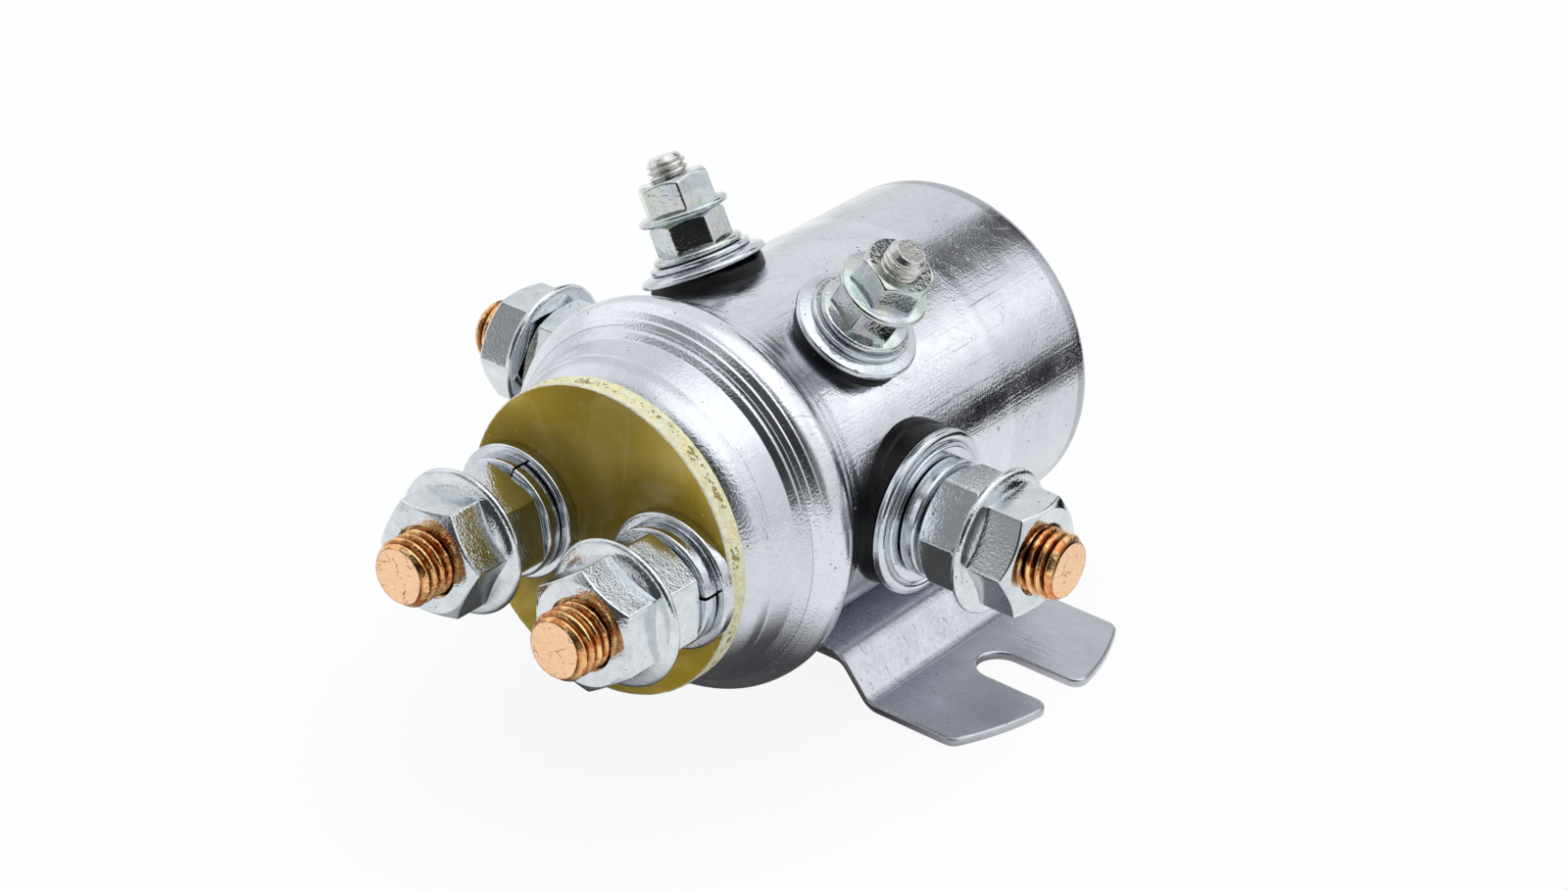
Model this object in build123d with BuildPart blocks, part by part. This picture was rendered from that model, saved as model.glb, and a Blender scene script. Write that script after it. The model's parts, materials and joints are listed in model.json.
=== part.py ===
from build123d import *
from math import cos, radians, sin, sqrt
import os

# Winch relay: a solenoid in a drawn steel can, with four heavy copper studs and two coil studs.
# Lengths are millimetres. A station is a distance along the can from the end disc's outer face
# towards the closed rear. The origin is the middle of the two mounting slots, at floor level.

# Can and its crimped mouth
can_radius = 26.0
can_wall = 1.2
can_length = 70.0
can_edge_radius = 2.0
bead_swell = 3.8
bead_length = 7.6
bead_shoulder = 1.6
lip_ridge = 0.7

# End cap and the insulating boards clamped to it
end_disc_inset = 2.6
end_disc_thickness = 3.4
cap_wall = 1.4
cap_depth = 10.4
cap_front_inset = 4.0
cap_neck_inset = 1.5
cap_neck_station = 4.6
cap_root_inset = 0.3
cap_ridge_swell = 1.0
cap_ridge_length = 1.4
inner_board_thickness = 2.5

# Mounting bracket
bracket_thickness = 1.5
bracket_width = 43.0
bracket_rise = 5.85
bracket_seat_depth = 0.35
web_half_width = 19.2
joggle_run = 5.4
joggle_bend_radius = 2.4
foot_radius = 45.1
foot_corner_radius = 2.2
slot_setback = 40.7
slot_width = 7.4
slot_inner_end = 29.6

# Heavy terminal studs and their hardware
stud_radius = 5.0
stud_thread_depth = 0.45
stud_point_chamfer = 1.0
nut_across_flats = 16.0
nut_countersink = 0.6
hex_nut_height = 7.6
flange_nut_height = 8.3
flange_radius = 10.9
flange_edge = 1.3
end_stud_spacing = 27.9
end_stud_free_end = 5.4
end_washer_radius = 10.2
end_washer_thickness = 2.0
end_washer_edge = 0.3
lock_washer_radius = 8.9
lock_washer_thickness = 2.6
lock_washer_split = 1.2
lock_washer_angle = 200.0
end_hex_angles = (43.0, 33.0)
end_flange_angles = (6.0, 36.0)
side_stud_setback = 24.5
side_stud_free_end = 4.5
side_bush_radius = 12.3
side_bush_height = 1.9
side_spigot_radius = 6.6
side_washer_radius = 12.6
side_washer_thickness = 2.2
side_washer_edge = 1.0
side_hex_angle = 52.0
side_flange_angle = 1.0

# Coil studs and their hardware
coil_stud_radius = 2.95
coil_thread_depth = 0.3
coil_stud_free_end = 3.2
coil_stud_angle = 29.9
coil_stud_setback = 25.1
coil_point_chamfer = 0.8
coil_bush_radius = 8.6
coil_bush_height = 1.4
coil_spigot_radius = 4.4
coil_washer_radius = 9.5
coil_washer_thickness = 1.4
coil_washer_edge = 0.55
coil_spacer_radius = 7.6
coil_spacer_thickness = 0.8
coil_nut_across_flats = 10.0
coil_nut_countersink = 0.4
coil_nut_height = 5.9
coil_flange_radius = 6.8
coil_flange_edge = 0.8
coil_lower_angle = 12.0
coil_upper_angles = (50.0, 20.0)

# Contacts inside the can
stud_head_radius = 6.5
stud_head_thickness = 3.5
contact_disc_thickness = 2.5
contact_disc_edge = 0.4
closed_disc_inset = 0.95
contact_block_width = 13.0
contact_block_thickness = 6.0
contact_block_gap = 9.0
inner_bush_height = 4.5
side_inner_bush_radius = 8.0
coil_inner_bush_radius = 6.0
coil_head_radius = 4.6
coil_head_thickness = 3.0
plunger_travel = 3.0
contact_wipe = 1.0

# Plunger and the parts on its shaft
plunger_radius = 9.2
plunger_length = 19.0
plunger_projection = 2.5
shaft_radius = 2.5
shaft_socket_depth = 8.0
sleeve_radius = 4.5
stop_ring_radius = 6.4
stop_ring_thickness = 1.0
spring_seat_radius = 7.0
spring_seat_thickness = 1.4
contact_spring_radius = 5.5
contact_spring_wire = 0.45
contact_spring_turns = 4.0

# Coil, poles and return spring
pole_plate_thickness = 2.5
bobbin_wall = 1.2
bobbin_flange = 1.5
winding_recess = 1.0
rear_pole_thickness = 2.0
core_radius = 9.3
core_gap = 0.3
spring_bore_radius = 4.4
core_floor = 5.8
plunger_bore_depth = 4.0
return_spring_radius = 3.5
return_spring_wire = 0.5
return_spring_turns = 7.0
lead_radius = 0.6
lead_drop = 3.0
lead_bend_radius = 1.3

# Clearances
bore_clearance = 0.15
thread_clearance = 0.06
spigot_clearance = 0.1
running_clearance = 0.2
plunger_clearance = 0.3
wall_clearance = 0.1
bush_gap = 0.7
board_gap = 0.5
bobbin_gap = 0.6
open_disc_gap = 0.3
lead_hole_clearance = 0.4

# Radii that follow the can, the cap and the studs
bead_radius = can_radius + bead_swell
can_inner_radius = can_radius - can_wall
end_disc_radius = can_radius - end_disc_inset
cap_front_radius = can_radius - cap_front_inset
cap_neck_radius = can_radius - cap_neck_inset
cap_root_radius = can_radius - cap_root_inset
cap_ridge_radius = can_radius + cap_ridge_swell
inner_board_radius = cap_front_radius - cap_wall / 2 - board_gap
bobbin_radius = can_inner_radius - bobbin_gap
winding_radius = bobbin_radius - winding_recess
bobbin_bore = plunger_radius + plunger_clearance
bobbin_tube = bobbin_bore + bobbin_wall

# Stations along the can, worked out from the sizes above
cap_station = end_disc_thickness
board_station = cap_station + cap_wall
head_station = board_station + inner_board_thickness
closed_disc_station = head_station + stud_head_thickness
lip_station = cap_station + cap_depth
can_rear = lip_station + can_length
rear_inside = can_rear - can_wall
slot_station = lip_station + slot_setback
side_stud_station = lip_station + side_stud_setback
coil_stud_station = lip_station + coil_stud_setback
axis_height = bracket_rise + bracket_thickness - bracket_seat_depth + can_radius

contact_face_station = side_stud_station - contact_block_thickness / 2
open_disc_station = contact_face_station - plunger_travel - contact_disc_thickness
pole_plate_station = side_stud_station + side_inner_bush_radius + bush_gap
bobbin_station = pole_plate_station + pole_plate_thickness
rear_pole_station = rear_inside - rear_pole_thickness
plunger_front = pole_plate_station - plunger_projection
plunger_rear = plunger_front + plunger_length
core_front = plunger_rear + plunger_travel + core_gap
core_bore_end = rear_inside - core_floor

front_ring_station = closed_disc_station - contact_wipe - stop_ring_thickness
rear_ring_station = open_disc_station + contact_disc_thickness
sleeve_end = rear_ring_station + stop_ring_thickness
closed_disc_rear = closed_disc_station + contact_disc_thickness
spring_seat_station = (closed_disc_rear + open_disc_station - spring_seat_thickness) / 2

# Bores, and heights above each stud's seat, worked out from the sizes above
stud_bore = stud_radius + thread_clearance
nut_bore = stud_radius - stud_thread_depth + thread_clearance
nut_stack = lock_washer_thickness + hex_nut_height + flange_nut_height
end_nuts_top = end_washer_thickness + nut_stack
end_stud_reach = end_nuts_top + end_stud_free_end
block_outer = can_inner_radius - inner_bush_height
side_bush_top = can_radius + side_bush_height
side_washer_top = side_bush_top + side_washer_thickness
side_nuts_top = side_washer_top + nut_stack
side_stud_reach = side_nuts_top + side_stud_free_end
coil_stud_bore = coil_stud_radius + thread_clearance
coil_nut_bore = coil_stud_radius - coil_thread_depth + thread_clearance
coil_bush_top = can_radius + coil_bush_height
coil_washer_top = coil_bush_top + coil_washer_thickness
coil_spacer_top = coil_washer_top + coil_spacer_thickness
coil_nuts_top = coil_spacer_top + 2 * coil_nut_height
coil_stud_reach = coil_nuts_top + coil_stud_free_end
lead_depth = block_outer - coil_head_thickness - lead_drop
disc_bore = sleeve_radius + running_clearance
closed_disc_radius = end_stud_spacing / 2 + stud_head_radius - closed_disc_inset
open_disc_radius = block_outer - coil_head_thickness - open_disc_gap

# Working planes
axial_plane = Plane(origin=(0, -slot_station, axis_height), x_dir=(0, 1, 0), z_dir=(1, 0, 0))
can_axis = Axis((0, -slot_station, axis_height), (0, 1, 0))
hands = ("left", "right")


def across(station):
    """The plane square to the can at a station, facing the rear."""
    return Plane(origin=(0, station - slot_station, axis_height), x_dir=(1, 0, 0), z_dir=(0, 1, 0))


def end_seat(side):
    """An end stud's plane on the end disc, facing out of the cap."""
    middle = (side * end_stud_spacing / 2, -slot_station, axis_height)
    return Plane(origin=middle, x_dir=(1, 0, 0), z_dir=(0, -1, 0))


def side_seat(side):
    """A side stud's plane through the can's axis, facing outwards."""
    middle = (0, side_stud_station - slot_station, axis_height)
    return Plane(origin=middle, x_dir=(0, 1, 0), z_dir=(side, 0, 0))


def coil_seat(side):
    """A coil stud's plane through the can's axis, facing up and outwards."""
    middle = (0, coil_stud_station - slot_station, axis_height)
    lean = radians(coil_stud_angle)
    return Plane(origin=middle, x_dir=(0, 1, 0), z_dir=(side * sin(lean), 0, cos(lean)))


def section_of(seat):
    """The plane through a seat's axis, with X as the radius and Y as the height."""
    return Plane(origin=seat.origin, x_dir=seat.x_dir, z_dir=-seat.y_dir)


def save(piece, name):
    """Labels a finished piece and writes it."""
    piece.part.label = name
    export_step(piece.part, f"parts/{name}.step")


def turned(outline, rounds=()):
    """Spins an outline of (station, radius) points about the can's axis, with corners rounded."""
    with BuildPart() as piece:
        with BuildSketch(axial_plane) as section:
            with BuildLine():
                Polyline(*outline, close=True)
            make_face()
            for corner, radius in rounds:
                fillet(section.vertices().sort_by_distance(corner)[0], radius)
        revolve(axis=can_axis)
    return piece


def ring(seat, low, high, bore, radius, edge=0.0):
    """A flat ring between two heights over its seat, with its rim rounded by an edge radius."""
    with BuildPart() as piece:
        with BuildSketch(seat.offset(low)):
            Circle(radius)
            Circle(bore, mode=Mode.SUBTRACT)
        extrude(amount=high - low)
        if edge:
            fillet(piece.edges().filter_by(GeomType.CIRCLE).group_by(SortBy.RADIUS)[-1], edge)
    return piece


def lock_washer(seat, low, bore, angle):
    """A spring washer cut through at its split."""
    with BuildPart() as piece:
        with BuildSketch(seat.offset(low)):
            Circle(lock_washer_radius)
            Circle(bore, mode=Mode.SUBTRACT)
            with PolarLocations(lock_washer_radius, 1, start_angle=angle):
                Rectangle(2 * lock_washer_radius, lock_washer_split, mode=Mode.SUBTRACT)
        extrude(amount=lock_washer_thickness)
    return piece


def hex_prism(seat, low, high, bore, countersink, across_flats, angle):
    """A nut's six-sided prism, its top corners turned off at 30 degrees and its bore countersunk."""
    flat = across_flats / 2
    corner = across_flats / sqrt(3)
    with BuildPart() as piece:
        with BuildSketch(seat.offset(low)):
            RegularPolygon(flat, 6, major_radius=False, rotation=angle)
            Circle(bore, mode=Mode.SUBTRACT)
        extrude(amount=high - low)
        with BuildSketch(section_of(seat)):
            with BuildLine():
                Polyline(
                    (0, low),
                    (corner, low),
                    (corner, high - (corner - flat) / sqrt(3)),
                    (flat, high),
                    (bore + countersink, high),
                    (bore, high - countersink),
                    (0, high - countersink),
                    close=True,
                )
            make_face()
        revolve(axis=Axis(seat.origin, seat.z_dir), mode=Mode.INTERSECT)
    return piece


def flange_nut(seat, low, height, bore, countersink, across_flats, flange, edge, angle):
    """A hexagon nut on its own round, sloping flange."""
    hexagon = hex_prism(seat, low, low + height, bore, countersink, across_flats, angle)
    slope = (flange - across_flats / 2) / sqrt(3)
    with BuildPart() as piece:
        add(hexagon)
        with BuildSketch(section_of(seat)):
            with BuildLine():
                Polyline(
                    (bore, low),
                    (flange, low),
                    (flange, low + edge),
                    (across_flats / 2, low + edge + slope),
                    (bore, low + edge + slope),
                    close=True,
                )
            make_face()
        revolve(axis=Axis(seat.origin, seat.z_dir))
    return piece


def stud(seat, low, nut_end, reach, radius, depth, chamfer_length):
    """A stud's shank out to its last nut's outer face, and its free threaded end beyond.

    Inside the nuts the thread is drawn at its pitch radius, and the free end at its full radius.
    """
    with BuildPart() as piece:
        with BuildSketch(seat.offset(low)):
            Circle(radius - depth)
        extrude(amount=nut_end - low)
        with BuildSketch(seat.offset(nut_end)):
            Circle(radius)
        extrude(amount=reach - nut_end)
        chamfer(piece.faces().sort_by(Axis(seat.origin, seat.z_dir))[-1].edges(), chamfer_length)
    return piece


def can_core(radius):
    """A long cylinder on the can's axis, used to shape what follows the can's wall."""
    with BuildPart() as piece:
        with BuildSketch(across(lip_station)):
            Circle(radius)
        extrude(amount=can_length)
    return piece


def outer_bush(seat, radius, height, spigot_radius, bore):
    """An insulating bush whose base follows the can and whose spigot lines the can's hole."""
    with BuildPart() as piece:
        with BuildSketch(seat):
            Circle(radius)
        extrude(amount=can_radius + height)
        add(can_core(can_radius), mode=Mode.SUBTRACT)
        with BuildSketch(seat):
            Circle(spigot_radius - spigot_clearance)
        extrude(amount=can_radius + height)
        add(can_core(can_inner_radius), mode=Mode.SUBTRACT)
        with BuildSketch(seat):
            Circle(bore)
        extrude(amount=can_radius + 2 * height, mode=Mode.SUBTRACT)
    return piece


def inner_bush(seat, radius, bore):
    """An insulating collar between a stud's head and the inside of the can."""
    with BuildPart() as piece:
        with BuildSketch(seat.offset(can_inner_radius - inner_bush_height)):
            Circle(radius)
            Circle(bore, mode=Mode.SUBTRACT)
        extrude(amount=inner_bush_height)
        add(can_core(can_inner_radius), mode=Mode.INTERSECT)
    return piece


def coil_spring(low, high, radius, wire, turns):
    """An open coil spring on the can's axis between two stations."""
    length = high - low - 2 * wire - 2 * wall_clearance
    start = low + wire + wall_clearance
    with BuildPart() as piece:
        with BuildLine() as path:
            Helix(length / turns, length, radius, across(start).origin, can_axis.direction)
        with BuildSketch(Plane(origin=path.line @ 0, z_dir=path.line % 0)):
            Circle(wire)
        sweep(path=path.line, is_frenet=True)
    return piece


def heavy_nuts(seat, low, hex_angle, flange_angle, kind, hand):
    """The spring washer, hexagon nut and flange nut of a heavy stud, stacked from a height."""
    save(lock_washer(seat, low, stud_bore, lock_washer_angle), f"{kind}_lock_washer_{hand}")
    low += lock_washer_thickness
    top = low + hex_nut_height
    nut = hex_prism(seat, low, top, nut_bore, nut_countersink, nut_across_flats, hex_angle)
    save(nut, f"{kind}_hex_nut_{hand}")
    nut = flange_nut(
        seat,
        top,
        flange_nut_height,
        nut_bore,
        nut_countersink,
        nut_across_flats,
        flange_radius,
        flange_edge,
        flange_angle,
    )
    save(nut, f"{kind}_flange_nut_{hand}")


def lead_holes(station, length, clearance):
    """Two holes that pass the leads through a plate at a station."""
    with BuildPart() as holes:
        for side in (-1, 1):
            lean = radians(90 - side * coil_stud_angle)
            spot = (lead_depth * cos(lean), -lead_depth * sin(lean))
            with BuildSketch(across(station)):
                with Locations(spot):
                    Circle(lead_radius + clearance)
            extrude(amount=length)
    return holes


os.makedirs("parts", exist_ok=True)

# Can: a drawn cup whose mouth is swelled into a bead and folded over the cap's flange
bead_rear = lip_station + bead_length
bead_inside = bead_radius - can_wall
with BuildPart() as can_housing:
    add(
        turned(
            [
                (lip_station, cap_ridge_radius + wall_clearance),
                (lip_station, cap_ridge_radius + lip_ridge),
                (lip_station + lip_ridge, cap_ridge_radius + lip_ridge + can_wall / 2),
                (lip_station + bead_shoulder, bead_radius - can_wall / 2),
                (lip_station + bead_shoulder + can_wall, bead_radius),
                (bead_rear - can_wall, bead_radius),
                (bead_rear, bead_radius - can_wall),
                (bead_rear + can_wall / 2, can_radius),
                (can_rear, can_radius),
                (can_rear, 0),
                (rear_inside, 0),
                (rear_inside, can_inner_radius),
                (bead_rear - can_wall / 2, can_inner_radius),
                (bead_rear - can_wall, bead_inside),
                (lip_station + can_wall, bead_inside),
                (lip_station + can_wall, cap_ridge_radius + wall_clearance),
            ],
            [
                ((can_rear, can_radius), can_edge_radius),
                ((rear_inside, can_inner_radius), can_edge_radius - can_wall),
                ((lip_station + bead_shoulder + can_wall, bead_radius), can_wall),
                ((bead_rear - can_wall, bead_radius), can_wall),
                ((bead_rear + can_wall / 2, can_radius), can_wall / 2),
            ],
        )
    )
    for side in (-1, 1):
        with BuildSketch(side_seat(side)):
            Circle(side_spigot_radius)
        extrude(amount=bead_radius, mode=Mode.SUBTRACT)
        with BuildSketch(coil_seat(side)):
            Circle(coil_spigot_radius)
        extrude(amount=bead_radius, mode=Mode.SUBTRACT)
save(can_housing, "can_housing")

# End cap: a pressed cup with a swelling neck, a flared root and a flange under the can's lip
flange_front = lip_station + can_wall
flange_rear = flange_front + cap_wall
neck_station = cap_station + cap_neck_station
ridge_station = lip_station - cap_ridge_length
with BuildPart() as end_cap:
    add(
        turned(
            [
                (cap_station, 0),
                (cap_station, cap_front_radius),
                (cap_station + cap_wall, cap_neck_radius - cap_wall / 2),
                (neck_station, cap_neck_radius),
                (ridge_station, cap_root_radius),
                (ridge_station + wall_clearance, cap_ridge_radius),
                (flange_front, cap_ridge_radius),
                (flange_front, bead_inside - wall_clearance),
                (flange_rear, bead_inside - wall_clearance),
                (flange_rear, cap_ridge_radius - cap_wall),
                (ridge_station + cap_wall, cap_root_radius - cap_wall),
                (neck_station, cap_neck_radius - cap_wall),
                (board_station, cap_front_radius - cap_wall / 2),
                (board_station, 0),
            ],
            [
                ((cap_station, cap_front_radius), cap_wall / 2),
                ((cap_station + cap_wall, cap_neck_radius - cap_wall / 2), cap_wall),
                ((ridge_station, cap_root_radius), cap_wall / 3),
                ((ridge_station + wall_clearance, cap_ridge_radius), cap_wall / 3),
            ],
        )
    )
    for side in (-1, 1):
        with BuildSketch(end_seat(side).offset(-cap_station)):
            Circle(stud_head_radius + spigot_clearance)
        extrude(amount=-cap_wall, mode=Mode.SUBTRACT)
save(end_cap, "end_cap")

# End disc: the laminate board that faces the cap
with BuildPart() as end_disc:
    with BuildSketch(across(0)):
        Circle(end_disc_radius)
        with GridLocations(end_stud_spacing, 1, 2, 1):
            Circle(stud_radius + bore_clearance, mode=Mode.SUBTRACT)
    extrude(amount=end_disc_thickness)
save(end_disc, "end_disc")

# Inner board: backs the cap and lines its two stud holes with spigots
with BuildPart() as inner_board:
    with BuildSketch(across(board_station)):
        Circle(inner_board_radius)
    extrude(amount=inner_board_thickness)
    with BuildSketch(across(cap_station)):
        with GridLocations(end_stud_spacing, 1, 2, 1):
            Circle(stud_head_radius)
    extrude(amount=cap_wall)
    with BuildSketch(across(cap_station)):
        with GridLocations(end_stud_spacing, 1, 2, 1):
            Circle(stud_radius + bore_clearance)
    extrude(amount=cap_wall + inner_board_thickness, mode=Mode.SUBTRACT)
save(inner_board, "inner_board")

# Mounting bracket: one strip, raised under the can, joggled down to two slotted feet
web_top = bracket_rise + bracket_thickness
foot_start = web_half_width + joggle_run
with BuildPart() as mounting_bracket:
    with BuildSketch(Plane.XZ.offset(-bracket_width / 2)) as strip:
        with BuildLine():
            Polyline(
                (-foot_radius, 0),
                (-foot_start, 0),
                (-web_half_width, bracket_rise),
                (web_half_width, bracket_rise),
                (foot_start, 0),
                (foot_radius, 0),
                (foot_radius, bracket_thickness),
                (foot_start, bracket_thickness),
                (web_half_width, web_top),
                (-web_half_width, web_top),
                (-foot_start, bracket_thickness),
                (-foot_radius, bracket_thickness),
                close=True,
            )
        make_face()
        for side in (-1, 1):
            under = [(side * foot_start, 0), (side * web_half_width, web_top)]
            over = [(side * foot_start, bracket_thickness), (side * web_half_width, bracket_rise)]
            for corner in under:
                nearest = strip.vertices().sort_by_distance(corner)[0]
                fillet(nearest, joggle_bend_radius + bracket_thickness)
            for corner in over:
                nearest = strip.vertices().sort_by_distance(corner)[0]
                fillet(nearest, joggle_bend_radius)
    extrude(amount=bracket_width)
    with BuildSketch(Plane.XY) as feet:
        Circle(foot_radius)
        Rectangle(2 * foot_radius, bracket_width, mode=Mode.INTERSECT)
        slot_run = foot_radius - slot_inner_end
        with GridLocations(2 * slot_inner_end + 2 * slot_run, 1, 2, 1):
            SlotOverall(2 * slot_run, slot_width, mode=Mode.SUBTRACT)
        fillet(feet.vertices(), foot_corner_radius)
    extrude(amount=axis_height, mode=Mode.INTERSECT)
    add(can_core(can_radius), mode=Mode.SUBTRACT)
save(mounting_bracket, "mounting_bracket")

# End studs: copper bolts through the cap, each with a washer, a spring washer and two nuts
for side, hand, hex_angle, flange_angle in zip((-1, 1), hands, end_hex_angles, end_flange_angles):
    seat = end_seat(side)
    with BuildPart() as end_stud:
        add(
            stud(
                seat,
                -head_station,
                end_nuts_top,
                end_stud_reach,
                stud_radius,
                stud_thread_depth,
                stud_point_chamfer,
            )
        )
        with BuildSketch(seat.offset(-head_station)):
            Circle(stud_head_radius)
        extrude(amount=-stud_head_thickness)
    save(end_stud, f"end_stud_{hand}")
    washer = ring(seat, 0, end_washer_thickness, stud_bore, end_washer_radius, end_washer_edge)
    save(washer, f"end_washer_{hand}")
    heavy_nuts(seat, end_washer_thickness, hex_angle, flange_angle, "end", hand)

# Side studs: copper bolts through the can's wall, each with a contact block inside
for side, hand in zip((-1, 1), hands):
    seat = side_seat(side)
    with BuildPart() as side_stud:
        add(
            stud(
                seat,
                block_outer,
                side_nuts_top,
                side_stud_reach,
                stud_radius,
                stud_thread_depth,
                stud_point_chamfer,
            )
        )
        with BuildSketch(seat.offset(contact_block_gap)):
            Rectangle(contact_block_thickness, contact_block_width)
        extrude(amount=block_outer - contact_block_gap)
    save(side_stud, f"side_stud_{hand}")
    bush = outer_bush(seat, side_bush_radius, side_bush_height, side_spigot_radius, stud_bore)
    save(bush, f"side_outer_bush_{hand}")
    save(inner_bush(seat, side_inner_bush_radius, stud_bore), f"side_inner_bush_{hand}")
    washer = ring(
        seat,
        side_bush_top,
        side_washer_top,
        stud_bore,
        side_washer_radius,
        side_washer_edge,
    )
    save(washer, f"side_washer_{hand}")
    heavy_nuts(seat, side_washer_top, side_hex_angle, side_flange_angle, "side", hand)

# Coil studs: small bolts on top of the can, each with a lead down to the winding
for side, hand, upper_angle in zip((-1, 1), hands, coil_upper_angles):
    seat = coil_seat(side)
    with BuildPart() as coil_stud:
        add(
            stud(
                seat,
                block_outer,
                coil_nuts_top,
                coil_stud_reach,
                coil_stud_radius,
                coil_thread_depth,
                coil_point_chamfer,
            )
        )
        with BuildSketch(seat.offset(block_outer)):
            RegularPolygon(coil_head_radius, 6)
        extrude(amount=-coil_head_thickness)
    save(coil_stud, f"coil_stud_{hand}")
    bush = outer_bush(
        seat,
        coil_bush_radius,
        coil_bush_height,
        coil_spigot_radius,
        coil_stud_bore,
    )
    save(bush, f"coil_outer_bush_{hand}")
    bush = inner_bush(seat, coil_inner_bush_radius, coil_stud_bore)
    save(bush, f"coil_inner_bush_{hand}")
    washer = ring(
        seat,
        coil_bush_top,
        coil_washer_top,
        coil_stud_bore,
        coil_washer_radius,
        coil_washer_edge,
    )
    save(washer, f"coil_washer_{hand}")
    spacer = ring(seat, coil_washer_top, coil_spacer_top, coil_stud_bore, coil_spacer_radius)
    save(spacer, f"coil_spacer_{hand}")
    for place, angle, tier in (("lower", coil_lower_angle, 0), ("upper", upper_angle, 1)):
        nut = flange_nut(
            seat,
            coil_spacer_top + tier * coil_nut_height,
            coil_nut_height,
            coil_nut_bore,
            coil_nut_countersink,
            coil_nut_across_flats,
            coil_flange_radius,
            coil_flange_edge,
            angle,
        )
        save(nut, f"coil_{place}_nut_{hand}")
    with BuildPart() as coil_lead:
        with BuildLine(section_of(seat)) as route:
            FilletPolyline(
                (0, lead_depth + lead_drop),
                (0, lead_depth),
                (bobbin_station + bobbin_flange - coil_stud_station, lead_depth),
                radius=lead_bend_radius,
            )
        with BuildSketch(Plane(origin=route.line @ 0, z_dir=route.line % 0)):
            Circle(lead_radius)
        sweep(path=route.line)
    save(coil_lead, f"coil_lead_{hand}")
# Coil: pole plate, bobbin and winding, packed between the contacts and the can's closed end
with BuildPart() as pole_plate:
    with BuildSketch(across(pole_plate_station)):
        Circle(can_inner_radius - wall_clearance)
        Circle(bobbin_bore, mode=Mode.SUBTRACT)
    extrude(amount=pole_plate_thickness)
    add(
        lead_holes(pole_plate_station, pole_plate_thickness, lead_hole_clearance),
        mode=Mode.SUBTRACT,
    )
save(pole_plate, "pole_plate")

with BuildPart() as coil_bobbin:
    add(
        turned(
            [
                (bobbin_station, bobbin_bore),
                (bobbin_station, bobbin_radius),
                (bobbin_station + bobbin_flange, bobbin_radius),
                (bobbin_station + bobbin_flange, bobbin_tube),
                (rear_pole_station - bobbin_flange, bobbin_tube),
                (rear_pole_station - bobbin_flange, bobbin_radius),
                (rear_pole_station, bobbin_radius),
                (rear_pole_station, bobbin_bore),
            ]
        )
    )
    add(lead_holes(bobbin_station, bobbin_flange, lead_hole_clearance), mode=Mode.SUBTRACT)
save(coil_bobbin, "coil_bobbin")

with BuildPart() as coil_winding:
    with BuildSketch(across(bobbin_station + bobbin_flange)):
        Circle(winding_radius)
        Circle(bobbin_tube + wall_clearance, mode=Mode.SUBTRACT)
    extrude(amount=rear_pole_station - bobbin_station - 2 * bobbin_flange)
save(coil_winding, "coil_winding")

# Fixed core: a rear pole plate with a bored stem that the plunger is pulled towards
fixed_core = turned(
    [
        (rear_inside, 0),
        (rear_inside, can_inner_radius - can_edge_radius),
        (rear_pole_station, can_inner_radius - can_edge_radius),
        (rear_pole_station, core_radius),
        (core_front, core_radius),
        (core_front, spring_bore_radius),
        (core_bore_end, spring_bore_radius),
        (core_bore_end, 0),
    ]
)
save(fixed_core, "fixed_core")

# Plunger: slides in the bobbin, bored for its shaft in front and for the return spring behind
plunger = turned(
    [
        (plunger_front, shaft_radius),
        (plunger_front, plunger_radius),
        (plunger_rear, plunger_radius),
        (plunger_rear, spring_bore_radius),
        (plunger_rear - plunger_bore_depth, spring_bore_radius),
        (plunger_rear - plunger_bore_depth, 0),
        (plunger_front + shaft_socket_depth, 0),
        (plunger_front + shaft_socket_depth, shaft_radius),
    ]
)
save(plunger, "plunger")

with BuildPart() as plunger_shaft:
    with BuildSketch(across(front_ring_station)):
        Circle(shaft_radius)
    extrude(amount=plunger_front + shaft_socket_depth - front_ring_station)
save(plunger_shaft, "plunger_shaft")

with BuildPart() as shaft_sleeve:
    with BuildSketch(across(front_ring_station)):
        Circle(sleeve_radius)
        Circle(shaft_radius, mode=Mode.SUBTRACT)
    extrude(amount=sleeve_end - front_ring_station)
save(shaft_sleeve, "shaft_sleeve")

# Rings pressed on the sleeve: two stops for the contact discs and the seat of both springs
for name, station, thickness, radius in (
    ("front_stop_ring", front_ring_station, stop_ring_thickness, stop_ring_radius),
    ("spring_seat", spring_seat_station, spring_seat_thickness, spring_seat_radius),
    ("rear_stop_ring", rear_ring_station, stop_ring_thickness, stop_ring_radius),
):
    save(ring(across(station), 0, thickness, sleeve_radius, radius), name)

# Contact discs: copper rings that ride on the sleeve and bridge the studs in pairs
for name, station, radius in (
    ("closed_contact_disc", closed_disc_station, closed_disc_radius),
    ("open_contact_disc", open_disc_station, open_disc_radius),
):
    seat = across(station)
    disc = ring(seat, 0, contact_disc_thickness, disc_bore, radius, contact_disc_edge)
    save(disc, name)

# Springs: two press the contact discs against their stops, one pushes the plunger home
spring = coil_spring(
    closed_disc_rear,
    spring_seat_station,
    contact_spring_radius,
    contact_spring_wire,
    contact_spring_turns,
)
save(spring, "closed_contact_spring")
spring = coil_spring(
    spring_seat_station + spring_seat_thickness,
    open_disc_station,
    contact_spring_radius,
    contact_spring_wire,
    contact_spring_turns,
)
save(spring, "open_contact_spring")
spring = coil_spring(
    plunger_rear - plunger_bore_depth,
    core_bore_end,
    return_spring_radius,
    return_spring_wire,
    return_spring_turns,
)
save(spring, "return_spring")
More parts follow.
